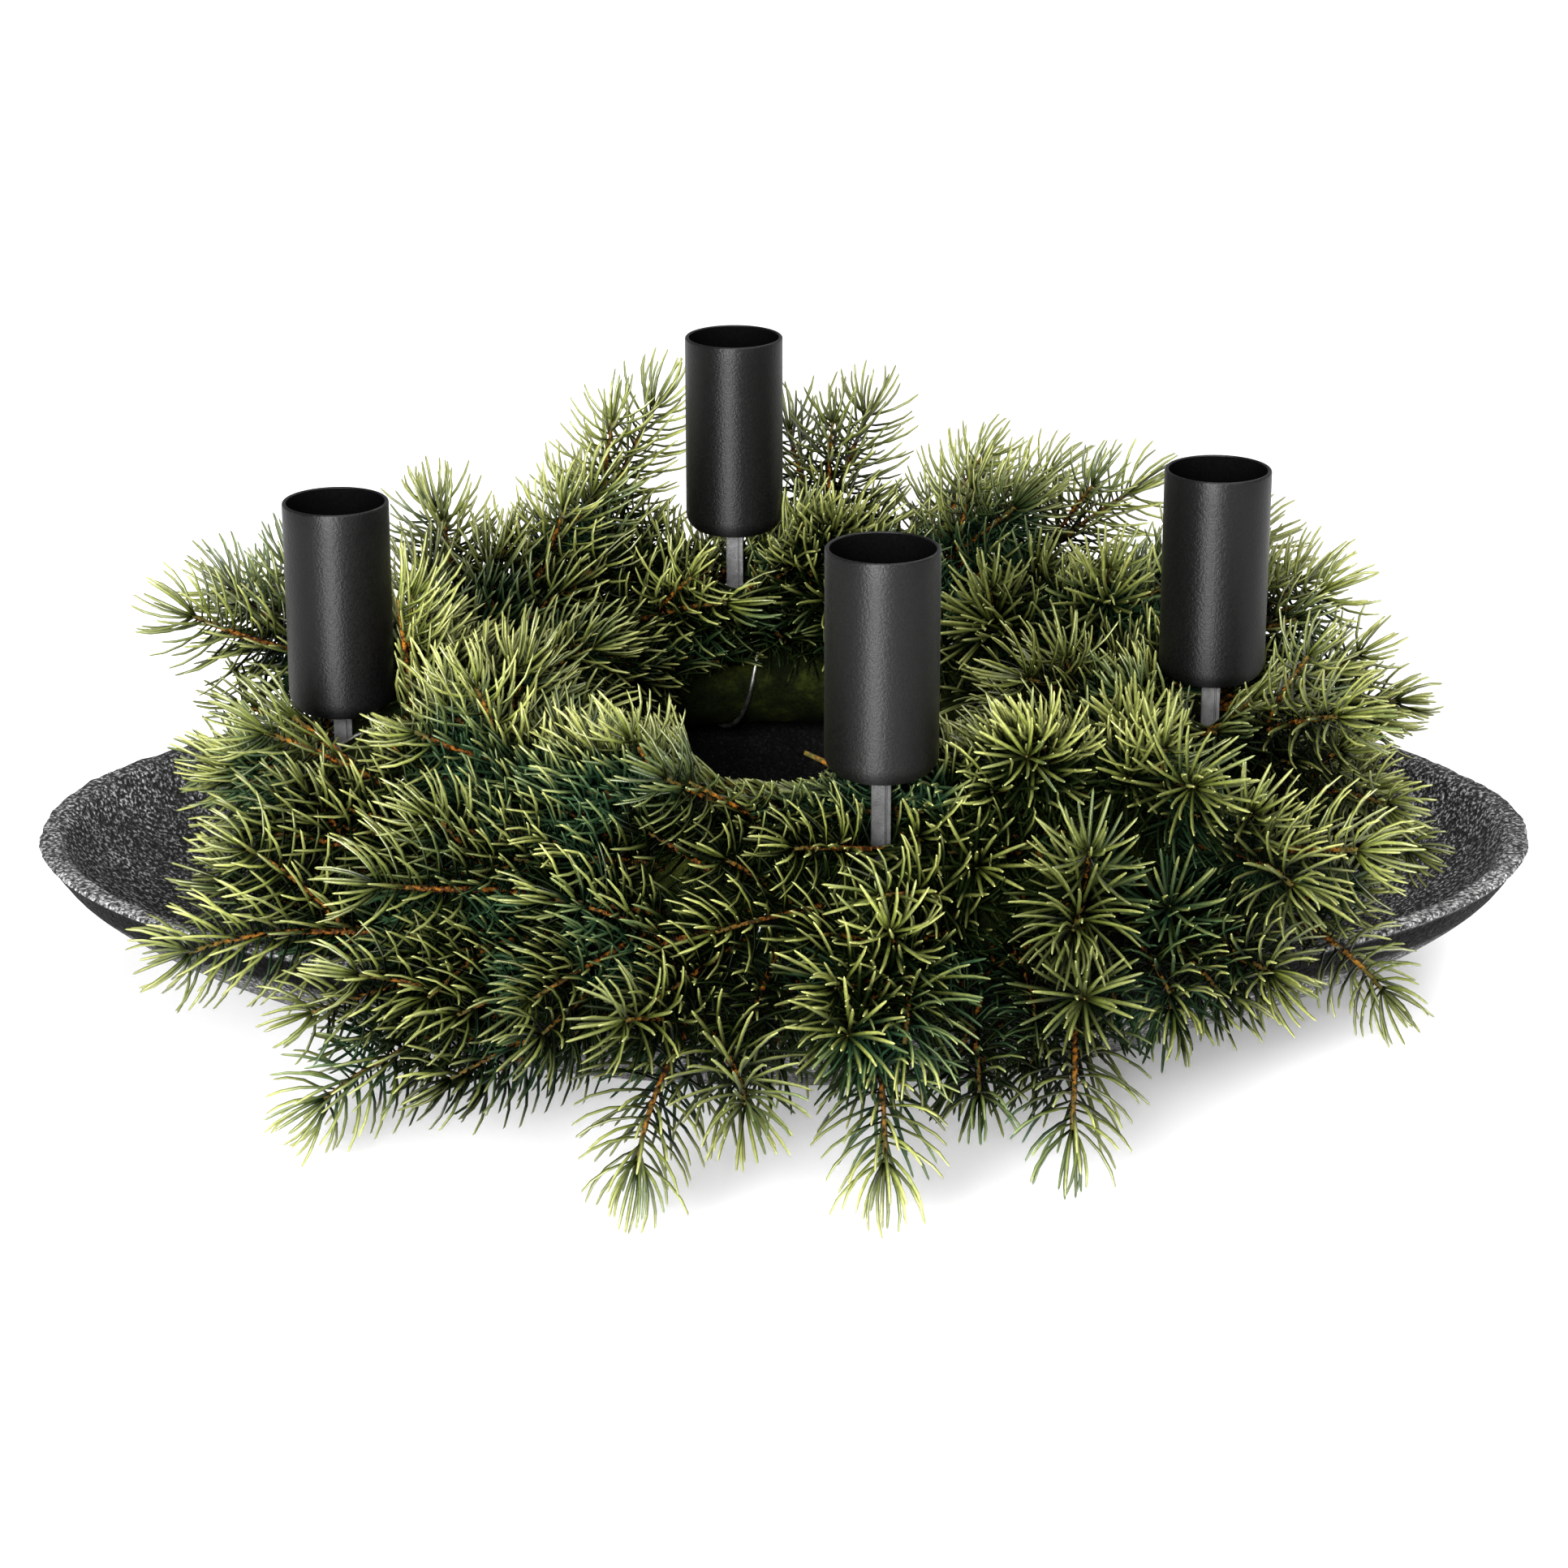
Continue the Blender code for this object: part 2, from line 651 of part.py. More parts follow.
def add_sprigs(surface, made):
    """Stems first, so that every needle can keep clear of every stem, then the needles sprig by sprig."""
    obstacles = fixed_obstacles()
    sprigs = sprig_list()
    grown = []
    for owner, sprig in enumerate(sprigs):
        path = stem_path(sprig)
        _, normal = core_point(sprig["azimuth"], sprig["poloidal"])
        stems = [Stem(path, STEM_BENDS, root_on_core(sprig, surface), normal)]
        if sprig["fork"]:
            stems.append(Stem(fork_path(sprig, path), FORK_BENDS))
        for stem in stems:
            points = np.array(stem.points)
            obstacles.add(points[:-1], points[1:], STEM_CLEARANCE, owner)
            obstacles.add(points[-1:], stem.tip[None], NEEDLE_CLEARANCE, owner)
        grown.append(stems)
    for owner, (sprig, stems) in enumerate(zip(sprigs, grown)):
        counts = NEEDLES_FORKED if sprig["fork"] else (NEEDLES_PLAIN,)
        needles = []
        for stem, count in zip(stems, counts):
            needles += grow_needles(stem, count, owner, obstacles)
        add_sprig(sprig["name"], stems[0], stems[1] if sprig["fork"] else None, needles, made)


def main():
    for obj in list(bpy.data.objects):
        bpy.data.objects.remove(obj)
    cast = material("dark_cast_metal", (0.035, 0.035, 0.037), 0.75, 0.4)
    coated = material("black_satin_coat", (0.02, 0.02, 0.022), 0.45, 0.2)
    steel = material("grey_spike_steel", (0.12, 0.12, 0.125), 0.5, 0.8)
    moss = material("moss_wrap", (0.06, 0.09, 0.02), 0.95)
    silver = material("binding_steel", (0.45, 0.45, 0.46), 0.35, 1.0)
    fir = material("fir_green", (0.09, 0.14, 0.035), 0.6)
    add_dish(cast)
    surface = add_core(moss)
    add_wire(silver)
    for index, place in enumerate(CUP_PLACES, start=1):
        add_cup(index, place, coated)
        add_spike(index, place, steel)
    add_sprigs(surface, fir)


main()
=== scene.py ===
import math

import bmesh
import bpy
import numpy as np
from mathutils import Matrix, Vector, noise


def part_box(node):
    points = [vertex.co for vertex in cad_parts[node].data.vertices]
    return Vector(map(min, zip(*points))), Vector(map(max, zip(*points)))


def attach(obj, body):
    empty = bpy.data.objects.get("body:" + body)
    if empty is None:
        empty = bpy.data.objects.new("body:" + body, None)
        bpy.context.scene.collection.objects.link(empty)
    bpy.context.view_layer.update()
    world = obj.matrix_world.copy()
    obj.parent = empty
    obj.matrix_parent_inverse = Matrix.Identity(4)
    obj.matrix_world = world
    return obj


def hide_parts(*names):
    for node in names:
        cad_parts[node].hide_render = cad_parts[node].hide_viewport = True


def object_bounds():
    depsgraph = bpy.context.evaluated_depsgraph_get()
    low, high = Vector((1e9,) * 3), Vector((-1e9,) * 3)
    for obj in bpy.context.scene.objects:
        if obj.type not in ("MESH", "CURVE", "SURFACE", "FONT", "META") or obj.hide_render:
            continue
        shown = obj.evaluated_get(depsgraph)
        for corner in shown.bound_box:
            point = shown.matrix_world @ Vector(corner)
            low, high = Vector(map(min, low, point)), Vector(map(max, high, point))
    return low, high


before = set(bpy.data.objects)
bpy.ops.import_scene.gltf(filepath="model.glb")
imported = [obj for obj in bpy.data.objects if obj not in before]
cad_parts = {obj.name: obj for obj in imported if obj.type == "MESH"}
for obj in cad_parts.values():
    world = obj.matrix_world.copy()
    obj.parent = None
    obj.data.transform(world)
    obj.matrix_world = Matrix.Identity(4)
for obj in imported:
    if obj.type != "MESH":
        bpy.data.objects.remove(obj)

cad_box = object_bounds()

# The numbers are in millimetres, in the frame's axes, and become metres where a mesh is made.
MM = 0.001
UP = np.array((0.0, 0.0, 1.0))
GAP = 0.3

# The driving sizes of the solids
DISH_HEIGHT = 40.0
DISH_OUTER = (
    (0.0, 104.0, 60.0),
    (10.0, 122.0, 76.0),
    (20.0, 148.0, 91.0),
    (30.0, 165.0, 100.0),
    (40.0, 173.0, 105.0),
)
DISH_INNER = (
    (40.0, 167.5, 99.5),
    (30.0, 159.5, 94.5),
    (20.0, 142.0, 85.0),
    (11.0, 114.0, 69.0),
    (6.0, 92.0, 50.0),
)
WIRE_TURNS = 18
WIRE_RADIUS = 0.5
WIRE_OFFSET = 0.8
WIRE_PHASE = 6.8
CORE_RADIUS = 86.0
CORE_HALF_WIDTH = 21.0
CORE_HALF_HEIGHT = 17.0
CORE_SEAT = GAP + WIRE_OFFSET + WIRE_RADIUS
CORE_Z = DISH_HEIGHT + CORE_SEAT + CORE_HALF_HEIGHT * math.sin(math.pi / 4)
CUP_PLACES = ((-100.6, -12.0, 121.7), (-12.3, 88.0, 134.5), (20.3, -95.0, 136.0), (97.1, -12.0, 129.2))
CUP_RADIUS = 12.0
CUP_WALL = 1.0
CUP_HEIGHT = 49.0
CUP_FLOOR = 1.5
SPIKE_WIDTH = 4.2
SPIKE_DEPTH = 2.6
SPIKE_SHEET = 1.1

# The sprigs' rule, the same as in the solids
ROWS = {
    "low": dict(
        poloidal=-22, pitch=6, lift=6, bend=-14, bend_lift=60, length=55, fork_every=2,
        sprigs=(
            (-130, 44, 6, 1.12), (-108, 62, -14, 1.4), (-97, 6, -2, 1.05), (-84, -4, -2, 1.02),
            (-74, 8, 26, 0.8), (-58, 26, -8, 1.05), (-41, 40, 4, 0.95), (-29, 14, -8, 1.0),
            (-4, 18, 0, 0.76), (30, 30, 0, 0.9), (64, 36, 0, 0.9), (102, 40, 0, 0.95), (142, 38, 0, 0.95),
        ),
    ),
    "mid": dict(
        poloidal=14, pitch=15, lift=15, bend=-14, bend_lift=24, length=50, fork_every=2,
        sprigs=(
            (-160, 32, 0, 0.56), (-139, 42, 10, 0.74), (-113, 82, 8, 0.84), (-95, 72, -14, 0.85),
            (-71, 78, -18, 1.05), (-54, 34, 16, 0.85), (-36, 26, 4, 0.95), (-14, 22, 0, 0.84),
            (12, 18, 0, 0.8), (44, 30, 0, 1.0), (78, 50, -4, 1.25), (122, 38, 0, 1.0), (162, 30, 0, 1.0),
        ),
    ),
    "upper": dict(
        poloidal=48, pitch=34, lift=15, bend=-14, bend_lift=10, length=46, fork_every=3,
        sprigs=(
            (-146, 26, 0, 0.75), (-40, 26, 6, 0.8), (-16, 28, 0, 0.95), (16, 22, 2, 0.8), (38, 20, -6, 0.95),
            (58, 24, -14, 1.0), (86, 18, 2, 1.12), (120, 62, 10, 1.25), (138, 18, 0, 0.85),
            (174, 26, -4, 1.0),
        ),
    ),
    "top": dict(
        poloidal=84, pitch=40, lift=6, bend=-24, bend_lift=6, length=36, fork_every=4,
        sprigs=(
            (-126, 80, -6, 1.0), (-98, 88, -14, 0.9), (-50, 60, -18, 0.8), (33, 112, -14, 0.9),
            (66, 92, -6, 1.0), (136, 80, 0, 1.0), (-160, 98, 6, 1.0),
        ),
    ),
    "inner": dict(
        poloidal=128, pitch=30, lift=0, bend=-18, bend_lift=0, length=30, fork_every=9,
        sprigs=(
            (-150, 124, 0, 1.0), (-68, 122, 0, 0.9), (-6, 126, 0, 1.0), (46, 134, 0, 1.0), (88, 146, 0, 0.9),
            (126, 132, -6, 1.1),
        ),
    ),
}
SEED = 24
SPRIG_SEED = 1000
FILLER_SEED = 2000
AZIMUTH_JITTER = 1.5
ANGLE_JITTER = 4.0
LENGTH_JITTER = 0.05
ROOT_FROM_WIRE = 2.4
STEM_STEPS = 16
STEM_ROOT_LEAN = 0.3
STEM_ROOT_BEND = 0.35
STEM_TURN = 14.0
FORK_START = 0.36
FORK_ANGLE = 48.0
FORK_STRAIGHTEN = 22.0
FORK_LENGTH = 0.62

# Twigs: round, rough and tapered
TWIG_RADIUS = 0.85
TWIG_TIP_RADIUS = 0.5
TWIG_SIDES = 7
TWIG_STEPS = 26
TWIG_UNEVEN = (0.8, 1.22)
TWIG_VERTEX_AREA = 0.3
FORK_RADIUS = 0.8

# Needles: their spacing along a twig, their size, and their widths at shares of their length
NEEDLE_SPACING = 0.46
NEEDLE_LENGTH = 19.0
NEEDLE_WIDTH = 0.8
NEEDLE_THICKNESS = 0.6
NEEDLE_WIDTHS = ((0.0, 0.6), (0.2, 0.9), (0.48, 1.0), (0.76, 0.92), (0.96, 0.6))
NEEDLE_SIZES = (0.88, 1.08)
NEEDLE_TUFT = 10
SHORT_NEEDLES = {"sprig_low_08": 0.85, "sprig_low_09": 0.7, "sprig_mid_08": 0.75, "sprig_mid_09": 0.75}

# How needles stand: they lean forward most in the tuft at a twig's tip, and are longest near its middle.
NEEDLES_START = 0.06
NEEDLES_LEAST = 8
GOLDEN_ANGLE = math.radians(137.508)
GOLDEN_STRAY = 0.16
NEEDLE_ANGLE = 84.0
NEEDLE_ANGLE_LOST = 16.0
NEEDLE_ANGLE_STRAY = 3.5
TUFT_START = 0.92
TUFT_SHARE = 0.08
TUFT_ANGLE_LOST = 55.0
NEEDLE_CURL = 44.0
NEEDLE_CURL_STRAY = 5.0
NEEDLE_SWIRL_STRAY = 6.0
NEEDLE_LONGEST = 0.55
NEEDLE_LENGTH_LOST = 0.25

# One more twig on each sprig: where it leaves the stem, its share of the sprig's length, and its turn
TWIGLET_START = 0.42
TWIGLET_SHARE = 0.48
TWIGLET_STRETCH = (0.8, 1.1)
TWIGLET_TURN = 76.0
TWIGLET_TURN_STRAY = 25.0
TWIGLET_RADIUS = 0.6
TWIGLET_CLEARANCE = 2.0

# Short twigs between the sprigs. Each group has its ranges of azimuth round the ring, of place round the
# core's section, of sweep, pitch and length, and its number of twigs.
SHORT_RADIUS = 0.7
SHORT_TIP_RADIUS = 0.4
SHORT_SPACING = 0.52
SHORT_LENGTH = NEEDLE_LENGTH * 0.85
SHORT_WIDTHS = ((0.0, 0.7), (0.33, 1.0), (0.66, 0.95), (0.94, 0.65))
SHORT_TUFT = 6
SHORT_BEND = -10.0
SHORT_CLEARANCE = 1.5
ROOT_POINTS = 4
FILLERS = {
    "round": ((0, 360), (-20, 100), (10, 70), (-8, 14), (24, 34), 72),
    "inner_left": ((108, 262), (108, 165), (105, 150), (0, 30), (18, 26), 30),
    "inner_back": ((70, 112), (86, 122), (95, 170), (20, 44), (20, 28), 12),
    "inner_right": ((-62, 66), (108, 160), (105, 150), (0, 30), (16, 24), 22),
    "over_window": ((70, 110), (112, 140), (145, 215), (-16, 22), (13, 19), 16),
    "behind_window": ((78, 100), (70, 104), (120, 200), (26, 56), (20, 30), 10),
    "inner_front": ((-124, -56), (84, 140), (50, 130), (4, 24), (16, 24), 30),
    "crown": ((0, 360), (55, 112), (20, 130), (22, 50), (17, 25), 64),
    "lower_left": ((-126, -96), (-26, -8), (40, 62), (-26, -8), (44, 58), 7),
    "front": ((-136, -34), (-25, 12), (-5, 50), (-26, -4), (30, 40), 30),
    "mat": ((0, 360), (-5, 120), (0, 180), (42, 78), (5, 9), 150),
    "front_top": ((-128, -52), (30, 90), (0, 130), (10, 44), (12, 18), 44),
}
# The groups that point higher the higher they root
RISES = {"round": 0.4}
# The group at each cup's foot, and how far to either side of the cup it roots
AT_CUP = ((48, 118), (-60, 200), (20, 60), (10, 17), 20)
AT_CUP_HALF = 12.0

# What the foliage keeps clear of. It may sink into the core and pass the solids' box by a little.
CORE_SINK = 1.0
CANDLE_ROOM = 30.0
SPIKE_ROOM = 2.9
HOLE_HALF = 29.0
TABLE_CLEARANCE = 0.8
BOX_SPARE = 7.0

# The camera stands 20 degrees above the level, 1 m from the point that it looks at.
CAMERA_ELEVATION = math.radians(20.0)
CAMERA_DISTANCE = 1000.0
CAMERA_TARGET = (0.0, 0.0, 49.8)
CAMERA_PLACE = (
    CAMERA_TARGET[0],
    CAMERA_TARGET[1] - CAMERA_DISTANCE * math.cos(CAMERA_ELEVATION),
    CAMERA_TARGET[2] + CAMERA_DISTANCE * math.sin(CAMERA_ELEVATION),
)
CAMERA_LENS = 98.76
CAMERA_SENSOR = 36.0

# The foliage is parted in front of each cup, a length of each spike, and a window on the back inner wall.
FRONT_POINT = np.round(CAMERA_PLACE, 1)
PARTED_AHEAD = 90.0
CUP_FOOT_SHOWS = 1.0
SPIKE_SHOWS = (6.5, 15.0, 16.0, 11.5)
SPIKE_PARTED = 3.2
WINDOW_MIDDLE = (-4.0, 42.0)
WINDOW_HALF = (20.0, 14.5)
WINDOW_CORNERS = 2.6
WINDOW_AHEAD = 3.0

# Painted light on the spikes' grey: the first, second and fourth spikes stand in the shade of the foliage and
# are painted paler, and the third, which the key light reaches, is painted darker.
SPIKE_PAINTED_LIGHT = (1.9, 1.5, 0.55, 1.9)

# Light that reaches into the foliage: the grid, the steps away from a needle with the length that each stands
# for, and the directions' heights in degrees with how many each has
CANOPY_CELL = 4.0
CANOPY_MARGIN = 2
CANOPY_STEPS = ((3.0, 4.0), (7.0, 4.0), (11.5, 5.0), (17.0, 6.0), (24.0, 8.0))
CANOPY_HEIGHTS = ((90.0, 1), (50.0, 6), (12.0, 8))
CANOPY_SHADE = 0.8

# The dish's mesh: its lip's crown has shares of the way inwards and heights over the rim.
DISH_SIDES = 500
DISH_STEPS = 10
LIP_CROWN = ((0.12, 0.15), (0.35, 0.25), (0.65, 0.2), (0.88, 0.05))
LIP_EDGE_DROP = 0.6
LIP_EDGE_IN = 0.1
FLOOR_RINGS = (0.86, 0.72, 0.58, 0.44, 0.3, 0.15)
WEAR_DEPTH = 200.0

# Unevenness: the size and the height of each layer of lumps, and how far they stand out
CAST_LUMPS = ((16.0, 0.6), (5.0, 0.35), (2.2, 0.5))
CAST_LUMPS_OUT = 0.55
CAST_LUMPS_UP = 0.5
EVEN_FOOT = 6.0
WRAP_LUMPS = ((15.0, 0.9), (5.0, 0.7), (2.0, 0.4))
WRAP_LUMPS_OUT = 0.55
WRAP_SUNK = 0.35

# The meshes of the other made pieces
CORE_STEPS = 240
CORE_SIDES = 56
WIRE_STEPS = 40
WIRE_SIDES = 8
WIRE_SUNK = 0.35
CUP_SIDES = 96
CUP_EDGE = 4.5
CUP_BOTTOM_RING = 3.5
CUP_WALL_RINGS = (0.3, 0.6, 0.9)
CUP_INNER_RING = 12.0
CUP_INNER_EDGE = 1.5
SPIKE_SOFT = 0.12
SPIKE_STEP = 0.1
SPIKE_GROOVE = 0.6
SPIKE_GROOVE_EDGES = (-0.3, -0.16, 0.08, 0.2)
SPIKE_POINT = ((9.0, 1.0), (4.0, 0.45), (0.0, 0.04))

# Studio light: each box light has its place, size and watts.
LIGHT_TARGET = (0.0, 0.0, 70.0)
BOX_LIGHTS = {
    "key_box": ((-370.0, -1500.0, 500.0), 700.0, 76.0),
    "back_box": ((500.0, 1100.0, 1300.0), 500.0, 6.0),
}
SKY_PLACE = (500.0, -600.0, 1500.0)
SKY_ANGLE = 45.0
SKY_STRENGTH = 2.9
ROOM_STRENGTH = 0.36
FLOOR_HALF = 12000.0
FLOOR_DROP = 0.2


def ring_axes(azimuth):
    """The outward and the clockwise direction at an azimuth in degrees."""
    a = math.radians(azimuth)
    return np.array((math.cos(a), math.sin(a), 0.0)), np.array((math.sin(a), -math.cos(a), 0.0))


def core_point(azimuth, poloidal, offset=0.0):
    """A point on the core's surface, or off it along its normal, and that normal."""
    outward, _ = ring_axes(azimuth)
    p = math.radians(poloidal)
    across = CORE_HALF_WIDTH * math.cos(p)
    above = CORE_HALF_HEIGHT * math.sin(p)
    normal = outward * (math.cos(p) / CORE_HALF_WIDTH) + UP * (math.sin(p) / CORE_HALF_HEIGHT)
    normal /= np.linalg.norm(normal)
    return outward * (CORE_RADIUS + across) + UP * (CORE_Z + above) + normal * offset, normal


def wire_azimuth(turn, poloidal):
    """Where a turn of the wire passes a place round the core's section."""
    return WIRE_PHASE + 360.0 / WIRE_TURNS * (turn + poloidal / 360.0)


def clear_of_wire(azimuth, poloidal):
    """The azimuth, moved along the ring where a root would stand on the wire."""
    pitch = 360.0 / WIRE_TURNS
    off = (azimuth - wire_azimuth(0, poloidal) + pitch / 2) % pitch - pitch / 2
    if abs(off) >= ROOT_FROM_WIRE:
        return azimuth
    return azimuth + math.copysign(ROOT_FROM_WIRE, off) - off


def unit(vector):
    """The vector at length 1."""
    return vector / np.linalg.norm(vector)


def fork_side(index, sweep):
    """Outwards on a sprig that lies along the ring, and otherwise to either side in turn."""
    return -1 if sweep > 60 or index % 4 else 1


def sprig_list():
    """Every sprig's name, angles and length, worked out row by row."""
    draw = np.random.default_rng(SEED)
    sprigs = []
    for row, rule in ROWS.items():
        for index, (azimuth, sweep, tilt, stretch) in enumerate(rule["sprigs"]):
            jitter = draw.uniform(-1.0, 1.0, 4)
            azimuth = clear_of_wire(azimuth + AZIMUTH_JITTER * jitter[0], rule["poloidal"])
            back = math.sin(math.radians(azimuth))
            back *= abs(back)
            sprig = dict(
                name=f"sprig_{row}_{index + 1:02d}",
                azimuth=azimuth,
                poloidal=rule["poloidal"],
                sweep=sweep + ANGLE_JITTER * jitter[1],
                pitch=rule["pitch"] + rule["lift"] * back + tilt + ANGLE_JITTER * jitter[2],
                bend=(rule["bend"] + rule["bend_lift"] * back) * abs(math.cos(math.radians(sweep))),
                length=rule["length"] * stretch * (1.0 + LENGTH_JITTER * jitter[3]),
                fork=fork_side(index, sweep) if index % rule["fork_every"] == 0 else 0,
            )
            sprigs.append(sprig)
    return sprigs


def stem_path(sprig):
    """Points from the core's surface to the stem's tip: out along the normal, then round to its aim."""
    outward, clockwise = ring_axes(sprig["azimuth"])
    root, normal = core_point(sprig["azimuth"], sprig["poloidal"])
    points = [root]
    for step in range(STEM_STEPS):
        t = (step + 0.5) / STEM_STEPS
        pitch = math.radians(sprig["pitch"] + sprig["bend"] * t**2)
        sweep = math.radians(sprig["sweep"] + STEM_TURN * t)
        level = outward * math.cos(sweep) + clockwise * math.sin(sweep)
        aim = level * math.cos(pitch) + UP * math.sin(pitch)
        lean = min(1.0, STEM_ROOT_LEAN + t / STEM_ROOT_BEND)
        points.append(points[-1] + unit(normal * (1.0 - lean) + aim * lean) * sprig["length"] / STEM_STEPS)
    return np.array(points)


def along(path, t):
    """The point at a share of a path, and the path's direction there."""
    place = min(max(t, 0.0), 1.0) * (len(path) - 1)
    i = min(int(place), len(path) - 2)
    return path[i] + (path[i + 1] - path[i]) * (place - i), unit(path[i + 1] - path[i])


def side_path(path, start_share, side, length):
    """Points of a side twig, which leaves the path towards one side and straightens beside it."""
    start, direction = along(path, start_share)
    points = [start]
    for step in range(STEM_STEPS):
        t = (step + 0.5) / STEM_STEPS
        angle = math.radians(FORK_ANGLE - FORK_STRAIGHTEN * t)
        aim = direction * math.cos(angle) + side * math.sin(angle)
        points.append(points[-1] + aim * length / STEM_STEPS)
    return np.array(points)


def turned(direction, degrees):
    """A direction square to a stem's, turned round it from the level one."""
    level = unit(np.cross(direction, UP))
    above = np.cross(level, direction)
    a = math.radians(degrees)
    return level * math.cos(a) + above * math.sin(a)


def half_axes(profile, z):
    """The dish's half length and half width at a height, on one of its outlines."""
    rows = np.array(sorted(profile))
    return np.interp(z, rows[:, 0], rows[:, 1]), np.interp(z, rows[:, 0], rows[:, 2])


def in_dish(x, y, z, clearance):
    """Points in the dish's metal."""
    a, b = half_axes(DISH_OUTER, z)
    in_outer = (x / (a + clearance)) ** 2 + (y / (b + clearance)) ** 2 < 1.0
    a, b = half_axes(DISH_INNER, z)
    in_bowl = (x / (a - clearance)) ** 2 + (y / (b - clearance)) ** 2 < 1.0
    in_bowl &= z > DISH_INNER[-1][0] + clearance
    return (z < DISH_HEIGHT + clearance) & in_outer & ~in_bowl


def seen_at(x, y, z, depth):
    """Where points show, across and up, on the upright plane at a depth, as seen from FRONT_POINT."""
    nearness = (depth - FRONT_POINT[1]) / (y - FRONT_POINT[1])
    return x * nearness, FRONT_POINT[2] + (z - FRONT_POINT[2]) * nearness


def by_cup(x, y, z, cup, shows, clearance):
    """Points in or over a cup, on its spike, or in front of it and of what shows of its spike."""
    cup_x, cup_y, rim = cup
    bottom = rim - CUP_HEIGHT
    from_axis = np.hypot(x - cup_x, y - cup_y)
    bad = (from_axis < CUP_RADIUS + clearance) & (z > bottom - clearance) & (z < rim + CANDLE_ROOM)
    bad |= (from_axis < SPIKE_ROOM) & (z > CORE_Z) & (z < rim)
    across, level = seen_at(x, y, z, cup_y)
    aside = np.abs(across - cup_x)
    parted = (aside < SPIKE_PARTED) & (level > bottom - shows)
    parted |= (aside < CUP_RADIUS) & (level > bottom - CUP_FOOT_SHOWS)
    return bad | (parted & (y < cup_y) & (y > cup_y - PARTED_AHEAD))


def before_window(x, y, z):
    """Points in front of the part of the ring's back inner wall that shows."""
    wall = CORE_RADIUS - CORE_HALF_WIDTH
    off_middle = 0.0
    for place, middle, half in zip(seen_at(x, y, z, wall), WINDOW_MIDDLE, WINDOW_HALF):
        off_middle = off_middle + (np.abs(place - middle) / half) ** WINDOW_CORNERS
    return (off_middle < 1.0) & (y < wall - WINDOW_AHEAD)


def blocked(points, clearance=0.4):
    """Which of many points a twig or a needle may not reach."""
    x, y, z = np.moveaxis(points, -1, 0)
    bad = in_dish(x, y, z, clearance)
    across = (np.hypot(x, y) - CORE_RADIUS) / (CORE_HALF_WIDTH - CORE_SINK)
    bad |= across**2 + ((z - CORE_Z) / (CORE_HALF_HEIGHT - CORE_SINK)) ** 2 < 1.0
    for cup, shows in zip(CUP_PLACES, SPIKE_SHOWS):
        bad |= by_cup(x, y, z, cup, shows, clearance)
    bad |= before_window(x, y, z)
    bad |= (np.abs(x) < HOLE_HALF) & (np.abs(y) < HOLE_HALF)
    low, high = (np.array(corner) / MM for corner in cad_box)
    bad |= (points < low - BOX_SPARE).any(-1) | (points > high + BOX_SPARE).any(-1)
    return bad | (z < TABLE_CLEARANCE)


class Canopy:
    """How thick the foliage is, on a grid of cells, and so how open a place in it is to the light."""

    def __init__(self, foliages):
        points = np.concatenate([part for foliage in foliages for part in foliage.vertices])
        areas = np.concatenate([part for foliage in foliages for part in foliage.areas])
        self.low = points.min(0) - CANOPY_MARGIN * CANOPY_CELL
        self.shape = ((points.max(0) - self.low) / CANOPY_CELL).astype(int) + CANOPY_MARGIN + 1
        cells = np.ravel_multi_index(self.cells(points).T, self.shape)
        filled = np.bincount(cells, weights=areas, minlength=int(np.prod(self.shape)))
        self.density = (filled / CANOPY_CELL**3).reshape(self.shape)
        middles = np.stack(np.indices(self.shape), -1) * CANOPY_CELL + self.low + CANOPY_CELL / 2
        across = (np.hypot(middles[..., 0], middles[..., 1]) - CORE_RADIUS) / CORE_HALF_WIDTH
        in_core = across**2 + ((middles[..., 2] - CORE_Z) / CORE_HALF_HEIGHT) ** 2 < 1.0
        self.density[in_core] = 1.0

    def cells(self, points):
        """The cell of each point, as three numbers."""
        return np.clip(((points - self.low) / CANOPY_CELL).astype(int), 0, np.array(self.shape) - 1)

    def openness(self, points):
        """The share of light from above and from the sides that reaches each point."""
        light = np.zeros(len(points))
        count = 0
        for height, around in CANOPY_HEIGHTS:
            for k in range(around):
                h, a = math.radians(height), 2.0 * math.pi * (k + 0.5) / around
                aim = np.array((math.cos(h) * math.cos(a), math.cos(h) * math.sin(a), math.sin(h)))
                shade = np.zeros(len(points))
                for distance, length in CANOPY_STEPS:
                    x, y, z = self.cells(points + aim * distance).T
                    shade += self.density[x, y, z] * length
                light += np.exp(-CANOPY_SHADE * shade)
                count += 1
        return light / count


def frames_on(path, t):
    """At shares of a path: the points, and there the directions forward, level and above."""
    place = np.clip(t, 0.0, 1.0) * (len(path) - 1)
    i = np.minimum(place.astype(int), len(path) - 2)
    step = path[i + 1] - path[i]
    forward = step / np.linalg.norm(step, axis=1)[:, None]
    level = np.cross(forward, UP)
    level /= np.linalg.norm(level, axis=1)[:, None]
    return path[i] + step * (place - i)[:, None], forward, level, np.cross(level, forward)


def needle_corners(centres, aims, sideways, widths):
    """Each needle's corners: three at each place along it, for a flat side and a ridge, and its point."""
    rings = []
    for k, (_, width) in enumerate(widths):
        wide = np.cross(aims[k], np.cross(sideways, aims[k]))
        wide /= np.linalg.norm(wide, axis=1)[:, None]
        thick = np.cross(wide, aims[k])
        half_width = wide * (width * NEEDLE_WIDTH / 2)
        ridge = thick * (width * NEEDLE_THICKNESS)
        middle = centres[:, k] - ridge / 3
        rings += [middle + half_width, middle + ridge, middle - half_width]
    return np.stack(rings + [centres[:, len(widths)]], 1)


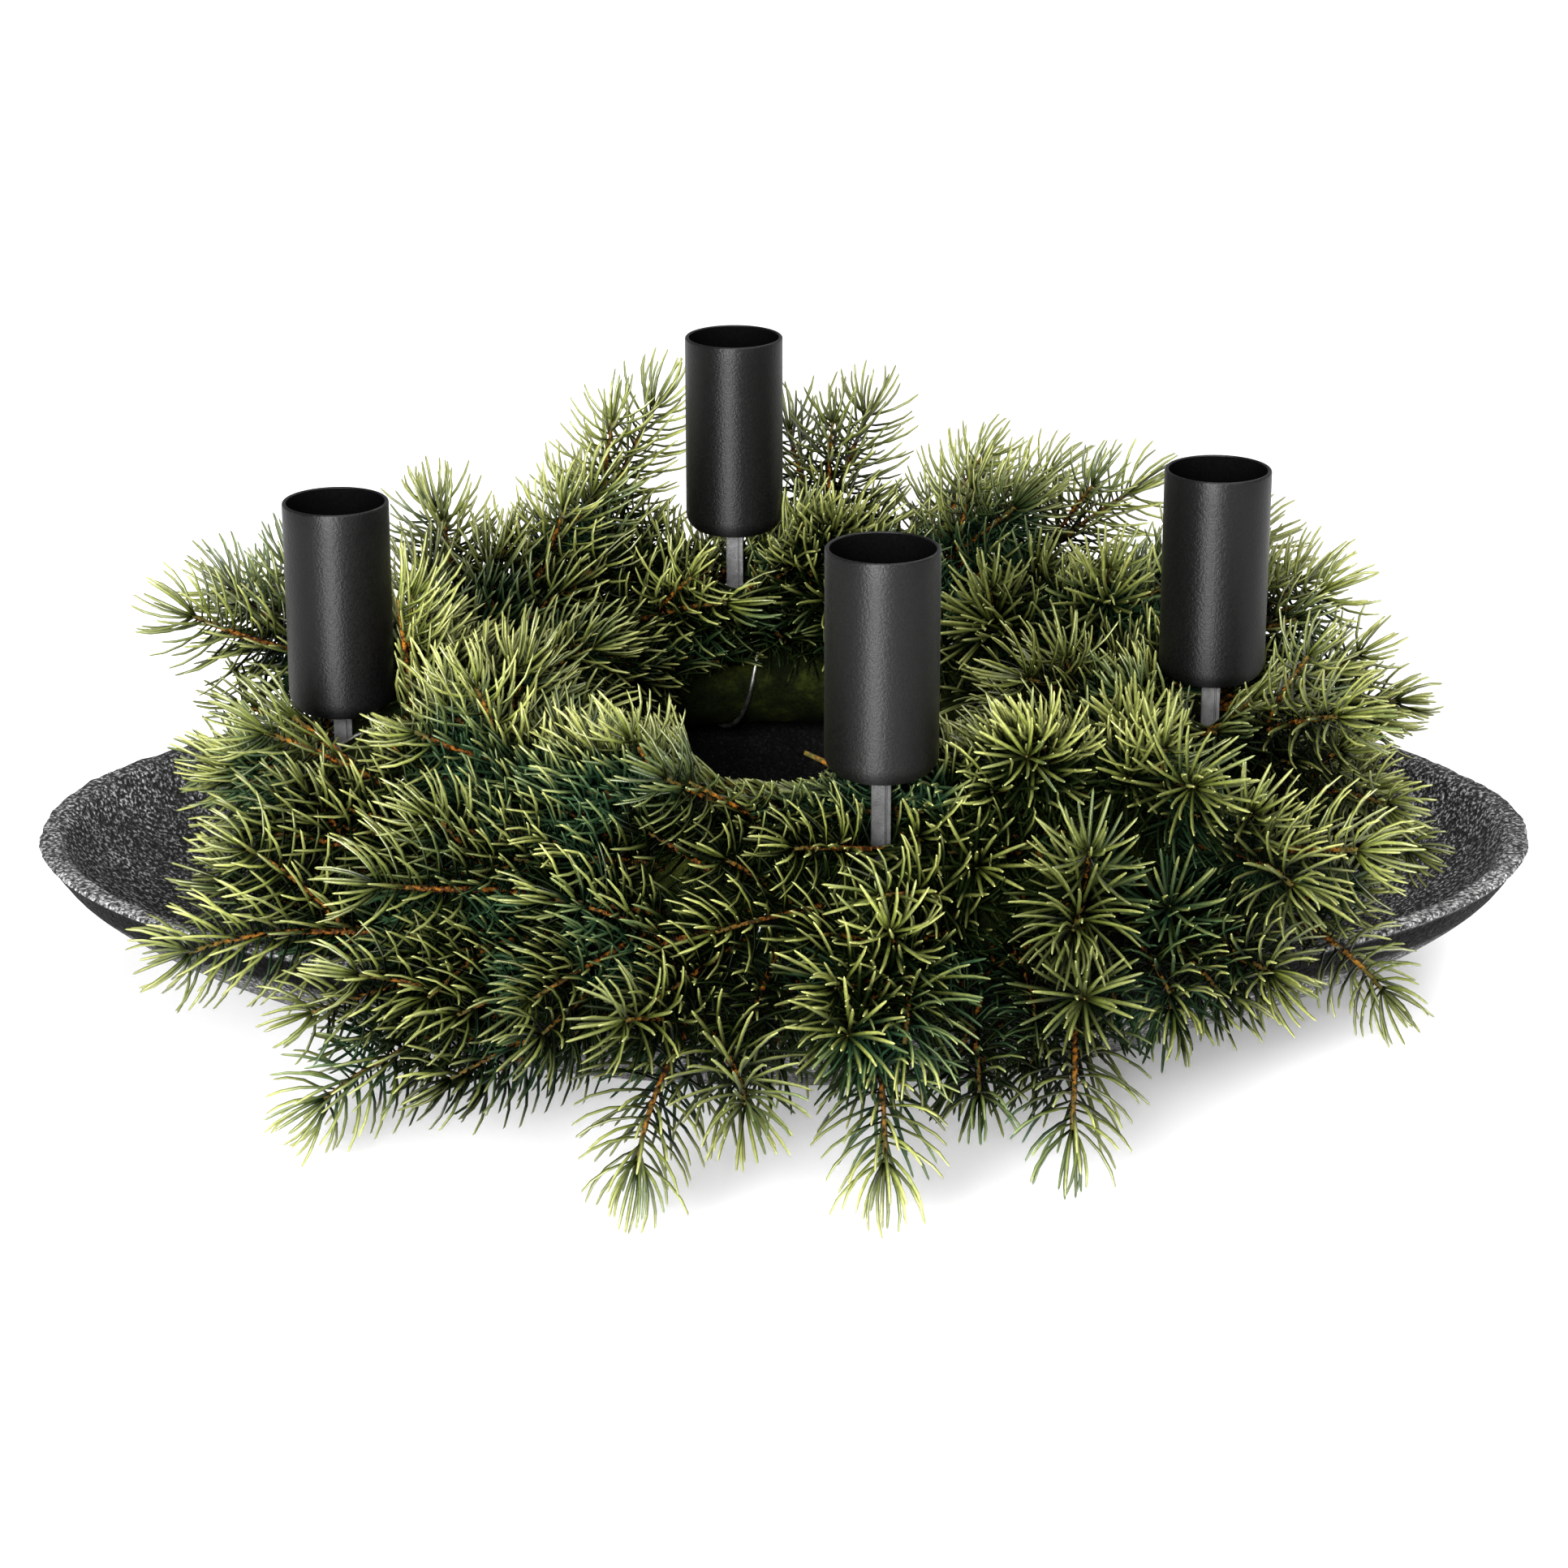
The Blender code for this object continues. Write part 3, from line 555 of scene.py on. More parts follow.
def needle_faces(count, rows):
    """The faces of needles with those corners: quads along the walls, triangles at the point and the root."""
    each = 3 * rows + 1
    first = np.arange(count)[:, None, None] * each
    sides = ((0, 1), (1, 2), (2, 0))
    last = 3 * (rows - 1)
    quads = [(k + a, k + b, k + 3 + b, k + 3 + a) for k in range(0, last, 3) for a, b in sides]
    ends = [(last + a, last + b, each - 1) for a, b in sides] + [(2, 1, 0)]
    return [(first + np.array(faces)).reshape(-1, len(faces[0])) for faces in (quads, ends)]


class Foliage:
    """Twigs and needles gathered into one mesh, with a tint that the materials read.

    The tint is the share along a needle or twig, its own value, and how open the place is to the light.
    """

    NEEDLE_SLOT = 0
    BARK_SLOT = 1

    def __init__(self, seed):
        self.draw = np.random.default_rng(seed)
        self.count = 0
        self.vertices, self.areas, self.tints = [], [], []
        self.faces, self.loops, self.slots = [], [], []

    def add(self, vertices, faces, slot, tints, area):
        """faces is a list of integer arrays with a row for every face; area is what a vertex stands for."""
        self.vertices.append(vertices.reshape(-1, 3))
        self.areas.append(np.full(len(self.vertices[-1]), area))
        self.tints.append(tints.reshape(-1, 3))
        for part in faces:
            self.faces.append(np.full(len(part), part.shape[1]))
            self.loops.append((part + self.count).reshape(-1))
            self.slots.append(np.full(len(part), slot))
        self.count += len(self.vertices[-1])

    def twig(self, path, radius, tip_radius, tint):
        """A rough round twig along a path, closed at both ends."""
        shares = np.linspace(0.0, 1.0, TWIG_STEPS)
        around = np.arange(TWIG_SIDES) * 2.0 * math.pi / TWIG_SIDES
        rings = []
        side = turned(along(path, 0.0)[1], 0.0)
        for share in shares:
            point, direction = along(path, share)
            side = unit(side - direction * (side @ direction))
            above = np.cross(direction, side)
            size = (radius + (tip_radius - radius) * share) * self.draw.uniform(*TWIG_UNEVEN, TWIG_SIDES)
            outward = side * np.cos(around)[:, None] + above * np.sin(around)[:, None]
            rings.append(point + outward * size[:, None])
        first = np.arange(TWIG_STEPS - 1)[:, None] * TWIG_SIDES
        i = np.arange(TWIG_SIDES)
        j = (i + 1) % TWIG_SIDES
        walls = np.stack([first + i, first + j, first + TWIG_SIDES + j, first + TWIG_SIDES + i], -1)
        ends = np.stack([i[::-1], i + (TWIG_STEPS - 1) * TWIG_SIDES])
        tints = np.zeros((TWIG_STEPS, TWIG_SIDES, 3))
        tints[..., 0] = shares[:, None]
        tints[..., 1] = tint
        self.add(np.array(rings), [walls.reshape(-1, 4), ends], self.BARK_SLOT, tints, TWIG_VERTEX_AREA)

    def needles(self, path, spacing, length, widths, radius, tuft):
        """Needles all round a twig by the golden angle, thickest at its end, each bent forward along it."""
        draw = self.draw
        run = np.linalg.norm(np.diff(path, axis=0), axis=1).sum()
        count = max(NEEDLES_LEAST, int(run * (1.0 - NEEDLES_START) / spacing))
        steps = np.arange(count) + draw.uniform(0.0, 1.0, count)
        t = np.concatenate([NEEDLES_START + (1.0 - NEEDLES_START) * steps / count, np.full(tuft, 1.0)])
        n = len(t)
        base, forward, level, above = frames_on(path, t)
        around = np.arange(n) * GOLDEN_ANGLE + draw.uniform(-GOLDEN_STRAY, GOLDEN_STRAY, n)
        outward = level * np.cos(around)[:, None] + above * np.sin(around)[:, None]
        sideways = np.cross(forward, outward)
        opening = NEEDLE_ANGLE - NEEDLE_ANGLE_LOST * t**2 + draw.normal(0.0, NEEDLE_ANGLE_STRAY, n)
        folded = opening - draw.uniform(0.0, 1.0, n) * TUFT_ANGLE_LOST * (t - TUFT_START) / TUFT_SHARE
        opening = np.where(t > TUFT_START, folded, opening)
        curl = draw.normal(NEEDLE_CURL, NEEDLE_CURL_STRAY, n)
        swirl = draw.normal(0.0, NEEDLE_SWIRL_STRAY, n)
        size = length * draw.uniform(*NEEDLE_SIZES, n)
        size = size * (1.0 - NEEDLE_LENGTH_LOST * np.abs(2.0 * (t - NEEDLE_LONGEST)))
        shares = np.array([share for share, _ in widths] + [1.0])
        centres = [base + outward * (radius / 2)]
        aims = []
        for share, stretch in zip(shares, np.diff(shares, append=1.0)):
            angle = np.radians(opening - curl * share)
            twist = np.radians(swirl * share)
            across = outward * np.cos(twist)[:, None] + sideways * np.sin(twist)[:, None]
            aims.append(forward * np.cos(angle)[:, None] + across * np.sin(angle)[:, None])
            centres.append(centres[-1] + aims[-1] * (size * stretch)[:, None])
        centres = np.stack(centres[:-1], 1)
        keep = ~blocked(centres[:, 1:]).any(1)
        if not keep.any():
            return
        vertices = needle_corners(centres[keep], [aim[keep] for aim in aims], sideways[keep], widths)
        kept, each, _ = vertices.shape
        tints = np.zeros(vertices.shape)
        tints[:, :-1, 0] = np.repeat(shares[:-1], 3)
        tints[:, -1, 0] = 1.0
        tints[..., 1] = draw.uniform(0.0, 1.0, kept)[:, None]
        faces = needle_faces(kept, len(widths))
        self.add(vertices, faces, self.NEEDLE_SLOT, tints, NEEDLE_WIDTH * length / each)

    def mesh(self, name, canopy):
        """The finished mesh, with the light that reaches each vertex."""
        mesh = bpy.data.meshes.new(name)
        vertices = np.concatenate(self.vertices)
        sizes = np.concatenate(self.faces)
        loops = np.concatenate(self.loops)
        mesh.vertices.add(len(vertices))
        mesh.vertices.foreach_set("co", (vertices * MM).astype(np.float32).reshape(-1))
        mesh.loops.add(len(loops))
        mesh.loops.foreach_set("vertex_index", loops.astype(np.int32))
        mesh.polygons.add(len(sizes))
        mesh.polygons.foreach_set("loop_start", np.concatenate([[0], np.cumsum(sizes)[:-1]]).astype(np.int32))
        mesh.polygons.foreach_set("material_index", np.concatenate(self.slots).astype(np.int32))
        tint = mesh.color_attributes.new(name="tint", type="FLOAT_COLOR", domain="POINT")
        colours = np.ones((len(vertices), 4))
        colours[:, :3] = np.concatenate(self.tints)
        colours[:, 2] = canopy.openness(vertices)
        tint.data.foreach_set("color", colours.astype(np.float32).reshape(-1))
        mesh.update(calc_edges=True)
        mesh.validate()
        mesh.shade_smooth()
        return mesh


class Shader:
    """A material's nodes, wired by short calls."""

    def __init__(self, name, roughness=0.5, metallic=0.0, specular=0.5):
        self.material = bpy.data.materials.new(name)
        self.material.use_nodes = True
        self.nodes = self.material.node_tree.nodes
        self.links = self.material.node_tree.links
        self.surface = self.nodes["Principled BSDF"]
        self.surface.inputs["Roughness"].default_value = roughness
        self.surface.inputs["Metallic"].default_value = metallic
        self.surface.inputs["Specular IOR Level"].default_value = specular

    def put(self, socket, value):
        """A colour, a number or another node's output, into a socket."""
        if isinstance(value, tuple):
            socket.default_value = (*value, 1.0)
        elif isinstance(value, (int, float)):
            socket.default_value = value
        else:
            self.links.new(value, socket)

    def node(self, kind, sockets, **settings):
        """The outputs of a node, which is made with its settings and with what goes into its sockets."""
        made = self.nodes.new(kind)
        for key, value in settings.items():
            setattr(made, key, value)
        for key, value in sockets.items():
            self.put(made.inputs[key], value)
        return made.outputs

    def position(self):
        return self.node("ShaderNodeTexCoord", {})["Object"]

    def axes(self):
        """The place on the piece in metres, as three values."""
        split = self.node("ShaderNodeSeparateXYZ", {"Vector": self.position()})
        return split["X"], split["Y"], split["Z"]

    def noise(self, size, detail=3.0, roughness=0.5, distortion=0.0):
        """Noise whose features are about size millimetres across."""
        place = {"Vector": self.position(), "Scale": 1.0 / (size * MM)}
        grain = {"Detail": detail, "Roughness": roughness, "Distortion": distortion}
        return self.node("ShaderNodeTexNoise", place | grain)["Fac"]

    def cells(self, size):
        """The distance from the middle of cells that are about size millimetres across."""
        place = {"Vector": self.position(), "Scale": 1.0 / (size * MM)}
        return self.node("ShaderNodeTexVoronoi", place)["Distance"]

    def ramp(self, value, *stops):
        """Colours, or greys given as one number, at places from 0 to 1."""
        made = self.nodes.new("ShaderNodeValToRGB")
        elements = made.color_ramp.elements
        while len(elements) < len(stops):
            elements.new(0.5)
        for element, (place, colour) in zip(elements, stops):
            element.position = place
            element.color = (*colour, 1.0) if isinstance(colour, tuple) else (colour, colour, colour, 1.0)
        self.put(made.inputs["Fac"], value)
        return made.outputs["Color"]

    def mix(self, factor, first, second, blend="MIX"):
        sockets = {"Factor": factor, "A": first, "B": second}
        return self.node("ShaderNodeMix", sockets, data_type="RGBA", blend_type=blend)["Result"]

    def tinted(self, first, second):
        """The product of two colours."""
        return self.mix(1.0, first, second, "MULTIPLY")

    def reckon(self, operation, first, second=0.0):
        """A sum, a product or the like of two values."""
        return self.node("ShaderNodeMath", {0: first, 1: second}, operation=operation)["Value"]

    def colour(self, value):
        self.put(self.surface.inputs["Base Color"], value)

    def rough(self, value, low, high):
        """Roughness from low to high, as the value goes from 0.3 to 0.7."""
        self.put(self.surface.inputs["Roughness"], self.ramp(value, (0.3, low), (0.7, high)))

    def gloss(self, value):
        self.put(self.surface.inputs["Specular IOR Level"], value)

    def bump(self, height, distance):
        """Relief of about distance millimetres."""
        sockets = {"Distance": distance * MM, "Strength": 1.0, "Height": height}
        self.put(self.surface.inputs["Normal"], self.node("ShaderNodeBump", sockets)["Normal"])


def tint_parts(shader):
    """What Foliage wrote on its mesh: the share along, the needle's or twig's own value, and the light."""
    tint = shader.node("ShaderNodeAttribute", {}, attribute_name="tint")["Color"]
    split = shader.node("ShaderNodeSeparateColor", {"Color": tint})
    return split["Red"], split["Green"], split["Blue"]


def needle_material():
    """Fir needles with painted shade: darker at the root and where little light reaches into the foliage,
    yellower towards the point and in the light, bluish in patches.
    """
    shader = Shader("fir_needles")
    share, own, light = tint_parts(shader)
    # Painted light and shade: the lit green and the shaded green are one needle colour, mixed by how open
    # each place is to the light with each needle's own value added, and both grow darker towards the root as
    # painted shade near the twig.
    lit_green = shader.ramp(
        share, (0.0, (0.07, 0.088, 0.014)), (0.3, (0.13, 0.155, 0.026)), (1.0, (0.27, 0.285, 0.085))
    )
    shaded_green = shader.ramp(
        share, (0.0, (0.0008, 0.0018, 0.0005)), (0.5, (0.003, 0.0055, 0.0012)), (1.0, (0.008, 0.013, 0.003))
    )
    blue = shader.ramp(
        share, (0.0, (0.003, 0.011, 0.005)), (0.5, (0.012, 0.034, 0.016)), (1.0, (0.035, 0.08, 0.036))
    )
    light_and_own_tone = shader.reckon("ADD", light, shader.reckon("MULTIPLY", own, 0.24))
    green = shader.mix(shader.ramp(light_and_own_tone, (0.34, 0.0), (0.82, 1.0)), shaded_green, lit_green)
    bluish = shader.ramp(shader.noise(26.0, 1.0), (0.54, 0.0), (0.68, 0.65))
    by_spray = shader.ramp(shader.noise(41.0, 1.0), (0.36, (0.6, 0.62, 0.6)), (0.64, (1.3, 1.28, 1.3)))
    fleck = shader.ramp(shader.noise(1.4, 2.0), (0.35, 0.75), (0.7, 1.15))
    shader.colour(shader.tinted(shader.tinted(shader.mix(bluish, green, blue), by_spray), fleck))
    shader.rough(shader.noise(2.0), 0.25, 0.38)
    # Painted shade also in the gloss: needles that little light reaches are made less glossy.
    shader.gloss(shader.ramp(light, (0.25, 0.03), (0.8, 0.7)))
    shader.bump(shader.noise(0.5, 2.0), 0.04)
    return shader.material


def twig_material():
    """Orange-brown bark, darker in its cracks and in the shade, and greener at the twig's end."""
    shader = Shader("twig_bark", specular=0.1)
    share, _, light = tint_parts(shader)
    bark = shader.ramp(
        shader.noise(1.1, 4.0, 0.6),
        (0.3, (0.008, 0.0025, 0.0004)), (0.46, (0.06, 0.02, 0.002)), (0.66, (0.48, 0.17, 0.012)),
    )
    end = shader.ramp(share, (0.65, 0.0), (1.0, 0.8))
    lit = shader.ramp(light, (0.1, 0.35), (0.6, 1.0))
    shader.colour(shader.tinted(shader.mix(end, bark, (0.055, 0.065, 0.015)), lit))
    shader.rough(shader.noise(0.8), 0.6, 0.85)
    shader.bump(shader.noise(0.7, 4.0, 0.7), 0.25)
    return shader.material


def moss_material():
    """The green wrap of the ring: flat moss, dark in its folds."""
    shader = Shader("moss_wrap", specular=0.06)
    patches = shader.ramp(
        shader.noise(9.0, 4.0, 0.6),
        (0.32, (0.003, 0.0045, 0.0008)), (0.5, (0.008, 0.012, 0.002)), (0.72, (0.032, 0.04, 0.005)),
    )
    fibres = shader.ramp(shader.noise(0.9, 3.0, 0.7), (0.35, 0.45), (0.65, 1.25))
    shader.colour(shader.tinted(patches, fibres))
    shader.rough(shader.noise(3.0), 0.72, 0.95)
    shader.bump(shader.noise(0.8, 4.0, 0.7), 0.5)
    return shader.material


def wire_material():
    """Bright steel wire, a little dulled in places."""
    shader = Shader("binding_wire_steel", metallic=1.0)
    shader.colour(shader.ramp(shader.noise(4.0, 3.0), (0.3, (0.3, 0.3, 0.27)), (0.7, (0.6, 0.6, 0.56))))
    shader.rough(shader.noise(1.5), 0.28, 0.5)
    shader.bump(shader.noise(0.6, 2.0), 0.03)
    return shader.material


def cast_material(name, outside):
    """Dark sand-cast metal with a grainy skin and a rim that is worn pale, most of all in front.

    The outside has a dark band of painted shade under the rim, and the bowl is darkest in its middle, painted
    shade where the wreath covers it.
    """
    shader = Shader(name, metallic=0.3)
    grain = shader.noise(0.85, 3.0, 0.65, 0.6)
    relief = shader.reckon("ADD", grain, shader.reckon("MULTIPLY", shader.cells(1.05), -0.35))
    x, y, z = shader.axes()
    level = shader.reckon("MULTIPLY", z, 1.0 / (DISH_HEIGHT * MM))
    if outside:
        skin = shader.ramp(relief, (0.22, 0.006), (0.36, (0.07, 0.07, 0.071)), (0.52, (0.4, 0.4, 0.395)))
        # Painted shade: the outer wall just under the rim is made near black and less glossy, as the shadow
        # under the lip.
        skin = shader.mix(shader.ramp(level, (0.72, 0.0), (0.8, 1.0)), skin, (0.0015, 0.0015, 0.0016))
        gloss = shader.ramp(level, (0.72, 0.3), (0.8, 0.02), (0.96, 0.02), (0.98, 0.4))
    else:
        skin = shader.ramp(relief, (0.24, (0.002, 0.002, 0.0022)), (0.36, (0.035, 0.035, 0.036)), (0.5, 0.42))
        # Painted shade: the bowl is darker and less glossy towards its middle, where the wreath shades it.
        outwards = shader.reckon("MULTIPLY", shader.reckon("ABSOLUTE", x), 1.0 / (DISH_INNER[0][1] * MM))
        skin = shader.mix(shader.ramp(outwards, (0.6, 0.04), (0.93, 1.0)), (0.012, 0.012, 0.0115), skin)
        gloss = shader.ramp(outwards, (0.58, 0.03), (0.9, 0.4))
    shader.gloss(gloss)
    worn = shader.ramp(relief, (0.22, 0.015), (0.34, 0.16), (0.5, (0.6, 0.6, 0.59)))
    backwards = shader.reckon("ADD", shader.reckon("MULTIPLY", y, 1.0 / (WEAR_DEPTH * MM)), 0.5)
    in_front = shader.ramp(backwards, (0.3, 1.0), (0.5, 0.3), (0.7, 0.1))
    on_rim = shader.ramp(level, (0.972, 0.0), (0.985, 0.95))
    skin = shader.mix(shader.tinted(on_rim, in_front), skin, worn)
    broad = shader.ramp(shader.noise(14.0, 3.0), (0.3, 0.65), (0.7, 1.25))
    shader.colour(shader.tinted(skin, broad))
    shader.rough(grain, 0.8, 0.45)
    shader.bump(relief, 1.4)
    return shader.material


def coat_material():
    """Fine black satin coat with a close grain, whose highlight is drawn out up and down the cup."""
    shader = Shader("black_satin_coat", specular=0.25)
    fine = shader.noise(0.55, 2.0, 0.6)
    shader.colour(shader.ramp(fine, (0.3, 0.0008), (0.7, (0.003, 0.003, 0.0028))))
    shader.rough(fine, 0.44, 0.52)
    shader.bump(fine, 0.1)
    around = shader.node("ShaderNodeTangent", {}, direction_type="RADIAL", axis="Z")["Tangent"]
    shader.put(shader.surface.inputs["Tangent"], around)
    shader.surface.inputs["Anisotropic"].default_value = 0.8
    shader.surface.inputs["Anisotropic Rotation"].default_value = 0.25
    return shader.material


def shaded_inside_material():
    """The cups' dead black inside: a darker copy of the black coat with almost no gloss, painted shade for
    the hollow.
    """
    shader = Shader("shaded_black_inside", specular=0.02)
    shader.colour(shader.ramp(shader.noise(0.6, 2.0), (0.3, 0.0006), (0.7, 0.0014)))
    shader.rough(shader.noise(0.8, 2.0), 0.75, 0.9)
    return shader.material


def spike_material(number, painted_light):
    """Grey steel strip, a little worn, with painted light: its grey is made paler for a spike in the shade
    and darker for one in the key light.
    """
    shader = Shader(f"grey_spike_steel_{number}", metallic=0.6, specular=0.4)
    shader.colour(shader.ramp(shader.noise(2.4, 4.0, 0.6), (0.3, 0.09 * painted_light), (0.7, 0.15 * painted_light)))
    shader.rough(shader.noise(1.0), 0.42, 0.6)
    shader.bump(shader.noise(0.4, 2.0), 0.04)
    return shader.material


def floor_material():
    """Pale matt card."""
    shader = Shader("pale_floor", roughness=0.9, specular=0.1)
    shader.colour(shader.ramp(shader.noise(400.0, 2.0), (0.3, 0.92), (0.7, 0.95)))
    return shader.material


def add_piece(name, mesh, materials, slot, *nodes):
    """A piece of the part, with its materials, which stands for CAD nodes where it names some."""
    for made in materials:
        mesh.materials.append(made)
    obj = bpy.data.objects.new(name, mesh)
    bpy.context.scene.collection.objects.link(obj)
    if nodes:
        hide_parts(*nodes)
    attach(obj, "root")


def mesh_from(bm, name, smooth_angle):
    """A mesh from a bmesh in millimetres, with sharp edges where its faces meet at more than an angle."""
    bmesh.ops.recalc_face_normals(bm, faces=bm.faces)
    bmesh.ops.scale(bm, vec=(MM, MM, MM), verts=bm.verts)
    mesh = bpy.data.meshes.new(name)
    bm.to_mesh(mesh)
    bm.free()
    mesh.shade_smooth()
    mesh.set_sharp_from_angle(angle=math.radians(smooth_angle))
    return mesh


def skin(bm, places, closed=False):
    """Rings of vertices at places, with faces between each ring and the next. It returns the end rings."""
    rings = [[bm.verts.new(place) for place in ring] for ring in places]
    pairs = list(zip(rings, rings[1:]))
    if closed:
        pairs.append((rings[-1], rings[0]))
    for first, second in pairs:
        for i in range(len(first)):
            j = (i + 1) % len(first)
            bm.faces.new((first[i], first[j], second[j], second[i]))
    return rings[0], rings[-1]


def fan(bm, ring, centre):
    """Faces from a ring to a point in its middle."""
    middle = bm.verts.new(centre)
    for i, corner in enumerate(ring):
        bm.faces.new((corner, ring[(i + 1) % len(ring)], middle))


def smooth_profile(rows, steps):
    """A curve through rows of numbers, as more rows, with even speed between them."""
    rows = np.array(rows)
    padded = np.concatenate([rows[:1] * 2 - rows[1:2], rows, rows[-1:] * 2 - rows[-2:-1]])
    made = []
    for i in range(len(rows) - 1):
        p0, p1, p2, p3 = padded[i : i + 4]
        square = 2 * p0 - 5 * p1 + 4 * p2 - p3
        cube = 3 * p1 - p0 - 3 * p2 + p3
        for t in np.arange(steps) / steps:
            made.append(0.5 * (2 * p1 + (p2 - p0) * t + square * t**2 + cube * t**3))
    return made + [rows[-1]]


def lumps(point, layers):
    """How far a surface is raised at a point by layers of smooth noise, each with a size and a height."""
    return sum(noise.noise(point / size) * height for size, height in layers)


def circle(sides):
    """The angles of a ring's corners."""
    return [2.0 * math.pi * i / sides for i in range(sides)]


def dish_rows():
    """The dish's height, half length and half width at each ring, from foot to rim and down to its floor."""
    outer = smooth_profile(DISH_OUTER, DISH_STEPS)
    inner = smooth_profile(DISH_INNER, DISH_STEPS)
    (_, oa, ob), (_, ia, ib) = DISH_OUTER[-1], DISH_INNER[0]
    outer[-1] = (DISH_HEIGHT - LIP_EDGE_DROP, oa - LIP_EDGE_IN, ob - LIP_EDGE_IN)
    inner[0] = (DISH_HEIGHT - LIP_EDGE_DROP, ia + LIP_EDGE_IN, ib + LIP_EDGE_IN)
    lip = [(DISH_HEIGHT + rise, oa + (ia - oa) * share, ob + (ib - ob) * share) for share, rise in LIP_CROWN]
    floor_z, a, b = DISH_INNER[-1]
    return outer, lip + inner + [(floor_z, a * share, b * share) for share in FLOOR_RINGS]


def add_dish():
    """The cast dish, with an uneven skin and a hand-finished rim."""
    outside, inside = dish_rows()
    rings = []
    for z, a, b in outside + inside:
        ring = []
        for t in circle(DISH_SIDES):
            point = Vector((a * math.cos(t), b * math.sin(t), z))
            outward = Vector((math.cos(t) / a, math.sin(t) / b, 0.0)).normalized()
            uneven = lumps(point, CAST_LUMPS)
            near_foot = min(1.0, z / EVEN_FOOT)
            point += outward * uneven * near_foot * CAST_LUMPS_OUT
            point.z += uneven * CAST_LUMPS_UP * near_foot
            ring.append(point)
        rings.append(ring)
    bm = bmesh.new()
    foot, middle = skin(bm, rings)
    bm.faces.new(foot)
    fan(bm, middle, (0.0, 0.0, DISH_INNER[-1][0]))
    bm.faces.ensure_lookup_table()
    for face in bm.faces[: DISH_SIDES * (len(outside) - 1)]:
        face.material_index = 1
    materials = [cast_material("cast_bowl", False), cast_material("cast_outside", True)]
    add_piece("dish_body", mesh_from(bm, "dish_body", 80.0), materials, "cast_metal", "dish")


def add_core():
    """The moss-wrapped ring, lumpy as a wound wrap is."""
    rings = []
    for i in range(CORE_STEPS):
        ring = []
        for j in range(CORE_SIDES):
            point, normal = core_point(360.0 * i / CORE_STEPS, 360.0 * j / CORE_SIDES)
            point = Vector(point)
            raised = lumps(point, WRAP_LUMPS) * WRAP_LUMPS_OUT - WRAP_SUNK
            ring.append(point + Vector(normal) * raised)
        rings.append(ring)
    bm = bmesh.new()
    skin(bm, rings, closed=True)
    add_piece("moss_ring", mesh_from(bm, "moss_ring", 60.0), [moss_material()], "moss", "wreath_core")


def tube(bm, path, radius, sides):
    """A round tube along points that curve gently, closed at both ends."""
    rings = []
    side = None
    for i, point in enumerate(path):
        direction = unit(path[min(i + 1, len(path) - 1)] - path[max(i - 1, 0)])
        side = turned(direction, 0.0) if side is None else unit(side - direction * (side @ direction))
        above = np.cross(direction, side)
        rings.append([point + (side * math.cos(a) + above * math.sin(a)) * radius for a in circle(sides)])
    for end in skin(bm, rings):
        bm.faces.new(end)


def add_wire():
    """The binding wire, pulled tight round the wrap."""
    step = 360.0 / WIRE_STEPS
    places = [i * step for i in range(WIRE_TURNS * WIRE_STEPS)]
    path = [core_point(wire_azimuth(0, place), place, WIRE_OFFSET - WIRE_SUNK)[0] for place in places]
    bm = bmesh.new()
    tube(bm, path, WIRE_RADIUS, WIRE_SIDES)
    add_piece("wire_coil", mesh_from(bm, "wire_coil", 40.0), [wire_material()], "wire", "binding_wire")


def cup_profile(bottom, rim):
    """A cup's radius and height at each ring: its rounded foot, its wall, its rolled lip and its inside."""
    inner = CUP_RADIUS - CUP_WALL
    profile = [(CUP_BOTTOM_RING, bottom)]
    for a in map(math.radians, range(0, 91, 10)):
        radius = CUP_RADIUS - CUP_EDGE + CUP_EDGE * math.sin(a)
        profile.append((radius, bottom + CUP_EDGE * (1.0 - math.cos(a))))
    profile += [(CUP_RADIUS, bottom + share * CUP_HEIGHT) for share in CUP_WALL_RINGS]
    half = CUP_WALL / 2
    for a in map(math.radians, range(0, 181, 30)):
        profile.append((CUP_RADIUS - half + half * math.cos(a), rim - half + half * math.sin(a)))
    top_of_floor = bottom + CUP_FLOOR
    profile += [(inner, rim - CUP_INNER_RING), (inner, top_of_floor + CUP_INNER_EDGE)]
    return profile + [(inner - CUP_INNER_EDGE, top_of_floor)]


def add_cup(index, cup, materials):
    """A thin-walled cup with a rounded bottom edge and a softly rolled lip."""
    x, y, rim = cup
    bottom = rim - CUP_HEIGHT
    rings = []
    for radius, z in cup_profile(bottom, rim):
        rings.append([(x + radius * math.cos(t), y + radius * math.sin(t), z) for t in circle(CUP_SIDES)])
    bm = bmesh.new()
    under, within = skin(bm, rings)
    fan(bm, under, (x, y, bottom))
    fan(bm, within, (x, y, bottom + CUP_FLOOR))
    # The inside faces take the second material, the coat's copy with painted shade.
    for face in bm.faces:
        middle = face.calc_center_median()
        inside = math.hypot(middle.x - x, middle.y - y) < CUP_RADIUS - CUP_WALL + 0.1
        face.material_index = 1 if inside and middle.z > bottom + CUP_FLOOR - 0.1 else 0
    mesh = mesh_from(bm, f"cup_{index}", 50.0)
    add_piece(f"cup_{index}", mesh, materials, "black_coat", f"candle_cup_{index}")


